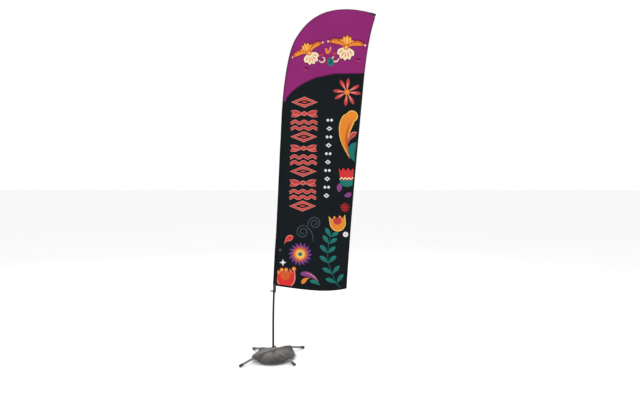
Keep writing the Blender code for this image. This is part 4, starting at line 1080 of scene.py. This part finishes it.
def stitched_line(spots, surface):
    """Stitches along (x, z) spots on flat cloth, on both of its sides at that distance."""
    solids = []
    spots = Curve(spots)
    for s in np.arange(STITCH_STEP, spots.total - STITCH_STEP, STITCH_STEP):
        point, tangent, right = spots.at(float(s))
        for side in (-1, 1):
            place = placed([(point[0], side * surface, point[1])])[0]
            along = (tangent[0] * STITCH_LENGTH, 0, tangent[1] * STITCH_LENGTH)
            aside = (right[0] * STITCH_WIDTH / 2, 0, right[1] * STITCH_WIDTH / 2)
            solids.append(stitch_solid(place, along, aside, (0, side * 0.0004, 0)))
    return solids


def offset_line(curve, first, last, offset_of):
    return [curve.at(s)[0] + offset_of(s) * curve.at(s)[2] for s in np.linspace(first, last, 70)]


def thread_material(name, colour):
    made, tree, shader = new_material(name, 0.6, Sheen_Weight=0.2)
    vector = object_coordinates(tree)
    twist = wave(tree, vector, 420, "DIAGONAL")
    colours = ramp(tree, twist, [(0.2, shaded(colour, 0.8)), (0.8, shaded(colour, 1.15))])
    tree.links.new(colours, shader.inputs["Base Color"])
    bump(tree, shader, twist, 0.4, 0.0002)
    return made


def webbing_material(name, colour, sheen=0.25):
    """Woven tape: ribs across its length and a slight sheen."""
    made, tree, shader = new_material(name, 0.72, Sheen_Weight=sheen, Sheen_Roughness=0.5)
    vector = object_coordinates(tree)
    ribs = mixed(tree, "MULTIPLY", wave(tree, vector, 190, "Z", 0.6), wave(tree, vector, 260, "X", 0.3))
    worn = mixed(tree, "ADD", ribs, mixed(tree, "MULTIPLY", noise(tree, vector, 60), 0.6))
    colours = ramp(tree, worn, [(0.2, shaded(colour, 0.7)), (0.9, shaded(colour, 1.5))])
    tree.links.new(colours, shader.inputs["Base Color"])
    bump(tree, shader, ribs, 0.6, 0.0004)
    return made


def make_cloth():
    panels = make_panels()
    sleeve = make_sleeve()
    pocket = make_pocket()
    dark, ground = ("black", "magenta_dark"), ("night", "magenta")
    fly = make_hem("flag_fly_hem", FLY_EDGE, CORNER_CUT, FLY_EDGE.total, 0.018, 1, (dark, ground))
    foot_start = 0.043
    foot = make_hem(
        "flag_foot_hem", FOOT_EDGE, foot_start, FOOT_EDGE.total - 0.018 - 2 * GAP, 0.020, -1, (dark, ground),
    )
    surface = SLOT_HALF + 0.0008 + 0.0001
    last = POLE.total - POCKET_LENGTH

    def tail(inset):
        return lambda s: sleeve_radius(s) + SLEEVE_WALL + SLEEVE_TAIL - inset

    solids = stitched_line(offset_line(POLE, CLOTH_START, last, tail(0.0025)), surface)
    solids += stitched_line(offset_line(POLE, CLOTH_START, last, tail(0.0060)), surface + 0.0003)
    solids += stitched_line(offset_line(FLY_EDGE, CORNER_CUT, FLY_EDGE.total, lambda s: 0.0155), surface)
    solids += stitched_line(offset_line(FLY_EDGE, CORNER_CUT, FLY_EDGE.total, lambda s: 0.0030), surface)
    foot_line = offset_line(FOOT_EDGE, foot_start, FOOT_EDGE.total - 0.019, lambda s: -0.0175)
    solids += stitched_line(foot_line, surface)
    thread = joined("flag_stitching", solids, [
        thread_material("dark_thread", linear(22, 24, 32)),
        thread_material("head_thread", linear(112, 20, 86)),
    ])
    for face in thread.data.polygons:
        x, _, z = face.center
        face.material_index = 1 if z > arch_z(x - POLE_X) else 0
    for obj, node, slot in (
        (sleeve, "pole_sleeve", "print"), (pocket, "tip_pocket", "webbing"),
        (fly, "fly_hem", "print"), (foot, "bottom_hem", "print"),
    ):
        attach(obj, "mast")
        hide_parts(node)
    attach(thread, "mast")
    return panels


STRAP_WIDTH = 0.026
STRAP_THICKNESS = 0.0016
STRAP_OFFSET = 0.009
CLIP_Z = 0.684
CLIP_HALF = 0.009
STRAP_THREAD = 0.0008


def make_strap():
    """Woven tether from the clip up onto the sleeve, sewn there with a crossed box."""
    clip_at = POLE.length_at_height(CLIP_Z)
    near = -(sleeve_radius(CLOTH_START) + SLEEVE_WALL + GAP)
    start, end = clip_at - CLIP_HALF - 0.003, CLOTH_START + 0.022
    half = STRAP_WIDTH / 2
    thick = STRAP_THICKNESS
    rings = []
    for s in np.linspace(start, end, 60):
        top = []
        for t in np.linspace(-1, 1, 13):
            rib = 0.00012 * math.cos(6 * math.pi * t) + (0.00022 if abs(t) > 0.88 else 0.0)
            crown = thick * (1 - 0.5 * abs(t) ** 12)
            top.append((STRAP_OFFSET + half * t, near - crown - rib + 0.0002))
        back = [(STRAP_OFFSET + half * t, near) for t in (1.0, 0.5, 0.0, -0.5, -1.0)]
        rings.append([Vector((x + POLE_X, y + POLE_Y, z)) for x, y, z in ring_on(POLE, s, top + back)])
    strap = lofted("tether_webbing", rings, [webbing_material("tether_webbing", linear(24, 24, 27))])
    solids = []
    low, high = CLOTH_START + 0.003, CLOTH_START + 0.019
    across = half - 0.004
    corners = [(low, -across), (low, across), (high, across), (high, -across)]
    lines = [(corners[i], corners[(i + 1) % 4]) for i in range(4)]
    lines += [(corners[0], corners[2]), (corners[1], corners[3])]
    for (s0, u0), (s1, u1) in lines:
        count = max(3, int(math.hypot(s1 - s0, u1 - u0) / 0.0032))
        for i in range(count):
            share = (i + 0.5) / count
            point, tangent, right = POLE.at(s0 + share * (s1 - s0))
            u = STRAP_OFFSET + u0 + share * (u1 - u0)
            spot = (point[0] + u * right[0] + POLE_X, near - thick + POLE_Y, point[1] + u * right[1])
            run = ((s1 - s0) * tangent + (u1 - u0) * right) / count * 0.7
            turn = np.array((run[1], -run[0])) / np.linalg.norm(run) * STRAP_THREAD / 2
            solids.append(stitch_solid(spot, (run[0], 0, run[1]), (turn[0], 0, turn[1]), (0, -0.0005, 0)))
    thread = joined("tether_stitching", solids, [thread_material("grey_thread", linear(74, 74, 80))])
    for obj in (strap, thread):
        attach(obj, "mast")
    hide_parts("tether_strap")


# ---- water bag ----------------------------------------------------------------------------------------
TUBE_RADIUS = 0.011
BARS = {  # azimuth in degrees, flat length, level, reach
    "upper": (43.3, 0.190, 0.067, 0.421),
    "lower": (133.3, 0.220, 0.042, 0.341),
}
LEG_END_Z = 0.0122
KNEE_BLEND = 0.030
BAG_RADIUS = 0.220
BAG_HOLE = 0.0245
BAG_CROWN = 0.080
BAG_CROWN_POWER = 3.4
BAG_EDGE = 0.004
BAG_THIN = 0.004
BAG_FLOOR_GAP = 0.004
BAG_WELD_HEIGHT = 0.021
BAG_TUCK = 0.76
BAG_SPOKES = 120
BAG_SHRINK = 0.004
BAG_SWELL = 0.011  # most that the filled bag stands out from its cut shape
BAG_FRAMES = 14
CAD_TOP_OF_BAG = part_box("water_bag")[1][2]
# azimuth in degrees, share of the way out, radius in metres, depth of each dent
BAG_DENTS = [
    (-58, 0.72, 0.034, 0.0110),
    (-36, 0.74, 0.032, 0.0120),
    (-46, 0.52, 0.040, 0.0060),
    (-155, 0.78, 0.032, 0.0100),
    (-168, 0.60, 0.036, 0.0050),
    (-100, 0.86, 0.026, 0.0045),
    (-18, 0.80, 0.026, 0.0080),
    (35, 0.7, 0.04, 0.005),
    (80, 0.6, 0.045, 0.004),
    (150, 0.72, 0.04, 0.005),
    (-122, 0.84, 0.024, 0.0035),
    (-78, 0.88, 0.022, 0.0035),
]


def bar_height(along, flat, level, reach):
    slope = (level - LEG_END_Z) / (reach - flat)
    a = np.abs(along)
    bend = level - slope * (a - flat + KNEE_BLEND) ** 2 / (4 * KNEE_BLEND)
    beyond = np.where(a < flat + KNEE_BLEND, bend, level - slope * (a - flat))
    return np.where(a <= flat - KNEE_BLEND, level, beyond)


def bag_reach(azimuth):
    along = np.cos(2 * (azimuth - math.radians(BARS["upper"][0])))
    slump = np.cos(azimuth + math.radians(70))
    return BAG_RADIUS + 0.010 * along + 0.018 * slump - 0.010 * np.cos(2 * azimuth)


def bag_under(x, y):
    """Height of the bag's underside: draped over both bars, near the floor between them."""
    height = np.full(np.shape(x), 0.004)
    for azimuth, flat, level, reach in BARS.values():
        angle = math.radians(azimuth)
        along = x * math.cos(angle) + y * math.sin(angle)
        aside = np.abs(y * math.cos(angle) - x * math.sin(angle))
        top = bar_height(along, flat, level, reach) + TUBE_RADIUS + 0.0018
        height = np.maximum(height, top - 0.75 * np.maximum(0.0, aside - 0.011))
    return height


def bag_edge(azimuth):
    """Lower side of the weld: over a bar where it crosses one, clear of the floor between them."""
    reach = bag_reach(azimuth)
    return np.maximum(bag_under(reach * np.cos(azimuth), reach * np.sin(azimuth)), BAG_WELD_HEIGHT)


def bag_bottom(azimuth, share):
    """Underside of the bag, which curls up to the weld near its edge."""
    radius = BAG_HOLE + share * (bag_reach(azimuth) - BAG_HOLE)
    curl = np.maximum(0.0, share - BAG_TUCK) / (1 - BAG_TUCK)
    rise = BAG_FLOOR_GAP + (BAG_WELD_HEIGHT - BAG_FLOOR_GAP) * curl**2
    return np.maximum(bag_under(radius * np.cos(azimuth), radius * np.sin(azimuth)), rise)


def bag_top(azimuth, share):
    reach = bag_reach(azimuth)
    radius = BAG_HOLE + share * (reach - BAG_HOLE)
    edge = bag_edge(azimuth) + BAG_EDGE
    dome = edge + (np.maximum(BAG_CROWN, edge + 0.001) - edge) * (1 - (radius / reach) ** BAG_CROWN_POWER)
    return np.maximum(dome, bag_bottom(azimuth, share) + BAG_EDGE + BAG_THIN * (1 - share**2))


def bag_puckers(azimuth, share):
    """Short radial gathers beside the weld, and the dents in the slack skin."""
    near = np.exp(-(((1 - share) / 0.16) ** 2)) * (1 - np.exp(-(((1 - share) / 0.03) ** 2)))
    wave = np.sin(31 * azimuth + 2.2 * np.sin(5 * azimuth)) * (0.6 + 0.4 * np.sin(7 * azimuth + 1))
    lift = 0.0026 * near * wave
    hole = np.exp(-((share / 0.14) ** 2)) * (1 - np.exp(-((share / 0.04) ** 2)))
    lift = lift + 0.0016 * hole * np.sin(17 * azimuth + np.sin(3 * azimuth))
    reach = bag_reach(azimuth)
    radius = BAG_HOLE + share * (reach - BAG_HOLE)
    x, y = radius * np.cos(azimuth), radius * np.sin(azimuth)
    for degrees, out, size, depth in BAG_DENTS:
        a = math.radians(degrees)
        r = BAG_HOLE + out * (float(bag_reach(a)) - BAG_HOLE)
        dx, dy = x - r * math.cos(a), y - r * math.sin(a)
        radial = dx * math.cos(a) + dy * math.sin(a)
        across = dy * math.cos(a) - dx * math.sin(a)
        shape = np.exp(-((across / (0.45 * size)) ** 2) - ((radial / size) ** 2))
        ridge = np.exp(-(((np.abs(across) - 0.75 * size) / (0.4 * size)) ** 2) - ((radial / size) ** 2))
        lift = lift - depth * shape + 0.35 * depth * ridge
    return lift


def polar(points):
    """Azimuth and share of the way from the hole to the weld of each bag point."""
    azimuth = np.arctan2(points[:, 1], points[:, 0])
    radius = np.hypot(points[:, 0], points[:, 1])
    return azimuth, (radius - BAG_HOLE) / (bag_reach(azimuth) - BAG_HOLE)


def bag_blank():
    """The empty bag as cut: a top and an underside welded at the rim, a little smaller than when filled."""
    outs = np.concatenate((np.linspace(0.0, 0.90, 15), (0.94, 0.97, 0.99)))
    azimuths = np.linspace(-math.pi, math.pi, BAG_SPOKES, endpoint=False)
    verts, loose = [], []

    def add_ring(share, height, slack):
        radius = BAG_HOLE + share * (bag_reach(azimuths) - BAG_HOLE)
        verts.extend(zip(radius * np.cos(azimuths) + POLE_X, radius * np.sin(azimuths) + POLE_Y, height))
        loose.extend([slack] * BAG_SPOKES)

    for share in outs:
        shrink = BAG_SHRINK * (1 - share**4)
        add_ring(share, bag_top(azimuths, share) - shrink, float(smooth_step(share / 0.12)))
    add_ring(1.0, bag_edge(azimuths) + BAG_EDGE / 2, 0.0)
    for share in outs[::-1]:
        under = bag_bottom(azimuths, share) + 0.0006
        lid = bag_top(azimuths, share) - BAG_SHRINK - 0.001
        add_ring(share, np.minimum(under, lid), 0.3 * float(smooth_step(share / 0.12)))
    rings = len(verts) // BAG_SPOKES
    obj = add_object("water_bag_skin", verts, ring_faces(rings, BAG_SPOKES, closed=True), [])
    outward(obj)
    pins = obj.vertex_groups.new(name="welds")
    for number, slack in enumerate(loose):
        pins.add([number], 1.0 - slack, "REPLACE")
    return obj


def apply_modifiers(obj):
    graph = bpy.context.evaluated_depsgraph_get()
    made = bpy.data.meshes.new_from_object(obj.evaluated_get(graph))
    old = obj.data
    obj.modifiers.clear()
    obj.data = made
    made.name = old.name
    bpy.data.meshes.remove(old)


def coordinates(mesh):
    flat = np.empty(len(mesh.vertices) * 3)
    mesh.vertices.foreach_get("co", flat)
    return flat.reshape(-1, 3)


def fill_with_water(obj):
    """Swells the skin by cloth simulation; the welds stay in place, and no point moves past the limit."""
    before = coordinates(obj.data)
    cloth = obj.modifiers.new("fill", "CLOTH")
    cloth.settings.quality = 6
    cloth.settings.mass = 0.2
    cloth.settings.vertex_group_mass = "welds"
    cloth.settings.pin_stiffness = 40
    cloth.settings.use_pressure = True
    cloth.settings.uniform_pressure_force = 6
    cloth.settings.tension_stiffness = 18
    cloth.settings.compression_stiffness = 18
    cloth.settings.bending_stiffness = 0.4
    cloth.settings.effector_weights.gravity = 0
    scene = bpy.context.scene
    scene.frame_start, scene.frame_end = 1, BAG_FRAMES
    for number in range(1, BAG_FRAMES + 1):
        scene.frame_set(number)
    apply_modifiers(obj)
    scene.frame_set(1)
    move = coordinates(obj.data) - before
    length = np.linalg.norm(move, axis=1)
    move *= np.minimum(1.0, BAG_SWELL / np.maximum(length, 1e-9))[:, None]
    return before + move


def settle_skin(points):
    """Puckers and dents on top; the underside stays over the bars and the floor, the hole stays open."""
    local = points - np.array((POLE_X, POLE_Y, 0.0))
    azimuth, share = polar(local)
    share = np.clip(share, 0.0, 1.0)
    under = bag_bottom(azimuth, share)
    height = bag_top(azimuth, share)
    upper = smooth_step((local[:, 2] - under) / np.maximum(height - under, 1e-4) * 2 - 0.6)
    local[:, 2] += bag_puckers(azimuth, share) * upper
    local[:, 2] = np.maximum(local[:, 2], under + 0.0004)
    local[:, 2] = np.minimum(local[:, 2], CAD_TOP_OF_BAG + 0.008)
    radius = np.hypot(local[:, 0], local[:, 1])
    scale = np.clip(radius, BAG_HOLE - 0.002, bag_reach(azimuth) + 0.005) / radius
    local[:, 0] *= scale
    local[:, 1] *= scale
    return local + np.array((POLE_X, POLE_Y, 0.0))


def bag_material():
    """Coated polyester: a fine weave under a slightly glossy film, with scuffs and dried splashes, and
    painted shade towards the bottom.
    """
    made, tree, shader = new_material("bag_skin", 0.5, Coat_Weight=0.05, Coat_Roughness=0.45)
    vector = object_coordinates(tree)
    weave = mixed(tree, "MULTIPLY", wave(tree, vector, 330, "X", 0.3), wave(tree, vector, 330, "Y", 0.3))
    clouds = noise(tree, vector, 9, 5, 0.6)
    specks = mixed(tree, "MULTIPLY", noise(tree, vector, 85, 6, 0.7), 0.35)
    mottled = mixed(tree, "ADD", clouds, specks)
    base = shaded(linear(72, 66, 63), INK_DEPTH)
    colours = ramp(tree, mottled, [(0.45, shaded(base, 0.72)), (0.62, base), (0.85, shaded(base, 1.22))])
    # Painted shade: the colour is darkened towards the underside and lower sides and left lighter on top,
    # with the clouds breaking up the border.
    height = tree.nodes.new("ShaderNodeSeparateXYZ")
    tree.links.new(vector, height.inputs[0])
    level = mixed(tree, "MULTIPLY", height.outputs["Z"], 10.0)
    shade_height = mixed(tree, "ADD", level, mixed(tree, "MULTIPLY", clouds, 0.4))
    painted_low_shade = ramp(tree, shade_height, [(0.40, (0.42,) * 3), (0.75, (0.85,) * 3), (1.0, (1.0,) * 3)])
    tree.links.new(mixed_colours(tree, colours, painted_low_shade), shader.inputs["Base Color"])
    gloss = ramp(tree, clouds, [(0.3, (0.42,) * 3), (0.75, (0.62,) * 3)])
    tree.links.new(gloss, shader.inputs["Roughness"])
    crumple = noise(tree, vector, 34, 6, 0.62)
    bump(tree, shader, mixed(tree, "ADD", mixed(tree, "MULTIPLY", weave, 0.05), crumple), 0.55, 0.0016)
    return made


def seam_solids():
    """The welded rim: a flat band with a rolled edge that waves a little between the bars."""
    azimuths = np.linspace(-math.pi, math.pi, 240, endpoint=False)
    profile = [(-0.004, 0.0011), (0.0015, 0.0013), (0.0055, 0.0010), (0.0072, 0.0014), (0.0080, 0.0006),
               (0.0080, -0.0006), (0.0072, -0.0013), (0.0055, -0.0009), (0.0015, -0.0012), (-0.004, -0.0010)]
    verts = []
    for azimuth in azimuths:
        reach = float(bag_reach(azimuth))
        middle = float(bag_edge(azimuth)) + BAG_EDGE / 2
        ripple = 0.0009 * math.sin(31 * azimuth + 2.2 * math.sin(5 * azimuth))
        for out, rise in profile:
            share = max(0.0, out) / 0.008
            radius = reach + out
            spot = (radius * math.cos(azimuth) + POLE_X, radius * math.sin(azimuth) + POLE_Y)
            verts.append((*spot, max(middle + rise + ripple * share, 0.0006)))
    return [(verts, ring_faces(len(azimuths), len(profile), closed=True))]


def make_bag():
    skin = bag_blank()
    points = fill_with_water(skin)
    points = settle_skin(points)
    skin.data.vertices.foreach_set("co", points.ravel())
    finer = skin.modifiers.new("finer", "SUBSURF")
    finer.levels = 1
    finer.render_levels = 1
    apply_modifiers(skin)
    skin.data.materials.clear()
    skin.data.materials.append(bag_material())
    skin.data.shade_smooth()
    rim_look = new_trim_material()
    rim = joined("water_bag_rim", seam_solids(), [rim_look])
    tab = make_bag_tab()
    tab.data.materials.append(webbing_material("tab_webbing", linear(38, 33, 31)))
    for obj in (skin, rim, tab):
        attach(obj, "bag")
    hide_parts("water_bag")
    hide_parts("bag_seam")
    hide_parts("bag_tab")


def new_trim_material():
    made, tree, shader = new_material("bag_rim", 0.62)
    vector = object_coordinates(tree)
    colour = linear(52, 47, 44)
    clouds = mixed(tree, "MULTIPLY", noise(tree, vector, 12), 0.5)
    weld = mixed(tree, "ADD", noise(tree, vector, 120, 4), clouds)
    colours = ramp(tree, weld, [(0.5, shaded(colour, 0.65)), (1.0, shaded(colour, 1.35))])
    tree.links.new(colours, shader.inputs["Base Color"])
    bump(tree, shader, weld, 0.5, 0.0006)
    return made


TAB_SECTION = [
    (-1, -0.6), (-0.9, 0.9), (-0.3, 1.1), (0.3, 1.1), (0.9, 0.9), (1, -0.6), (0.5, -1), (-0.5, -1),
]


def make_bag_tab():
    """A folded loop of tape under the weld, for hanging the bag up."""
    low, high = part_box("bag_tab")
    z = (low[2] + high[2]) / 2
    rings = []
    for share in np.linspace(0, 1, 14):
        x = low[0] - 0.003 + share * (high[0] - low[0] + 0.003)
        half = (high[1] - low[1]) / 2 * (1 - 0.62 * share**2.2)
        droop = -0.0012 * share**2
        ring = []
        for u, v in TAB_SECTION:
            ring.append(Vector((x, POLE_Y + u * half, z + v * 0.0012 + droop)))
        rings.append(ring)
    return lofted("water_bag_tab", rings, [])


# ---- finishes of the rigid parts ----------------------------------------------------------------------
def metal_material(name, colour, roughness, grain=(1, 1, 0.02), metallic=1.0, contrast=0.25, coat=0.0):
    """Drawn or machined metal: fine lines one way, small scratches and handled patches."""
    made, tree, shader = new_material(name, roughness, metallic, Coat_Weight=coat)
    lines = noise(tree, object_coordinates(tree, grain), 900, 4, 0.6)
    patches = noise(tree, object_coordinates(tree), 14, 5, 0.6)
    look = mixed(tree, "ADD", mixed(tree, "MULTIPLY", lines, 0.5), mixed(tree, "MULTIPLY", patches, 0.5))
    colours = ramp(tree, look, [(0.35, shaded(colour, 1 - contrast)), (0.65, shaded(colour, 1 + contrast))])
    tree.links.new(colours, shader.inputs["Base Color"])
    low, high = max(0.05, roughness - 0.10), roughness + 0.12
    tree.links.new(ramp(tree, patches, [(0.3, (low,) * 3), (0.7, (high,) * 3)]), shader.inputs["Roughness"])
    bump(tree, shader, lines, 0.15, 0.0002)
    return made


def leg_material():
    """Satin grey paint with orange peel, dust and a few bare scuffs."""
    made, tree, shader = new_material("leg_paint", 0.42, 0.25)
    vector = object_coordinates(tree)
    peel = noise(tree, vector, 420, 2)
    scuffs = noise(tree, object_coordinates(tree, (1, 1, 4)), 45, 8, 0.75)
    base = linear(108, 108, 108)
    stops = [(0.30, shaded(base, 0.75)), (0.55, base), (0.70, shaded(base, 1.15)), (0.80, shaded(base, 2.2))]
    tree.links.new(ramp(tree, scuffs, stops), shader.inputs["Base Color"])
    tree.links.new(ramp(tree, scuffs, [(0.4, (0.36,) * 3), (0.75, (0.58,) * 3)]), shader.inputs["Roughness"])
    bump(tree, shader, peel, 0.25, 0.0002)
    return made


def moulded_material(name, colour, roughness, grain, depth):
    """Moulded plastic or rubber with a spark-eroded grain."""
    made, tree, shader = new_material(name, roughness)
    vector = object_coordinates(tree)
    texture = noise(tree, vector, grain, 3)
    handled = noise(tree, vector, 30, 5, 0.65)
    colours = ramp(tree, handled, [(0.35, shaded(colour, 0.75)), (0.70, shaded(colour, 1.5))])
    tree.links.new(colours, shader.inputs["Base Color"])
    bump(tree, shader, texture, 0.35, depth)
    return made


def finish_rigid_parts():
    looks = {
        "alloy": metal_material("pole_alloy_satin", linear(32, 32, 34), 0.40, metallic=0.5),
        "fibre": moulded_material("pole_fibre_gloss", linear(30, 30, 32), 0.35, 300, 0.0001),
        "steel": metal_material("machined_steel", linear(186, 184, 180), 0.28, (1, 1, 6)),
        "zinc": metal_material("zinc_plate", linear(172, 166, 160), 0.38, (1, 1, 1), contrast=0.35),
        "paint": leg_material(),
        "rubber": moulded_material("foot_rubber", linear(52, 52, 53), 0.8, 500, 0.0004),
        "plastic": moulded_material("clip_plastic", linear(26, 26, 28), 0.45, 900, 0.0002),
        "seal": moulded_material("seal_rubber", linear(40, 40, 40), 0.65, 600, 0.0001),
        "filler": moulded_material("filler_plastic", linear(88, 83, 80), 0.5, 700, 0.0002),
    }
    parts = {
        "alloy": ["pole_base_section", "pole_mid_section"],
        "fibre": ["pole_upper_section", "pole_tip_section"],
        "steel": [
            "bearing_outer_ring", "bearing_inner_ring", "bearing_ball_cage", "pivot_bolt", "pivot_washer",
            "pivot_nut", "spindle_pin", "lever_pin",
        ],
        "zinc": ["saddle_bracket", "bearing_housing", "ferrule_lower", "ferrule_middle", "ferrule_upper"],
        "paint": ["upper_leg_bar", "lower_leg_bar"],
        "rubber": [
            "foot_front_left", "foot_back_right", "foot_front_right", "foot_back_left", "pole_tip_cap",
        ],
        "plastic": ["clip_collar", "clip_lever", "bar_spacer", "pole_bottom_bush", "pole_guide_bush"],
        "filler": ["filler_neck", "filler_cap"],
        "seal": ["cap_gasket"],
    }
    for look, nodes in parts.items():
        for node in nodes:
            for slot in NODES[node].material_slots:
                slot.material = looks[look]


def main():
    random.seed(7)
    make_camera()
    make_studio()
    make_cloth()
    make_strap()
    make_bag()
    finish_rigid_parts()
    bpy.context.view_layer.update()


main()
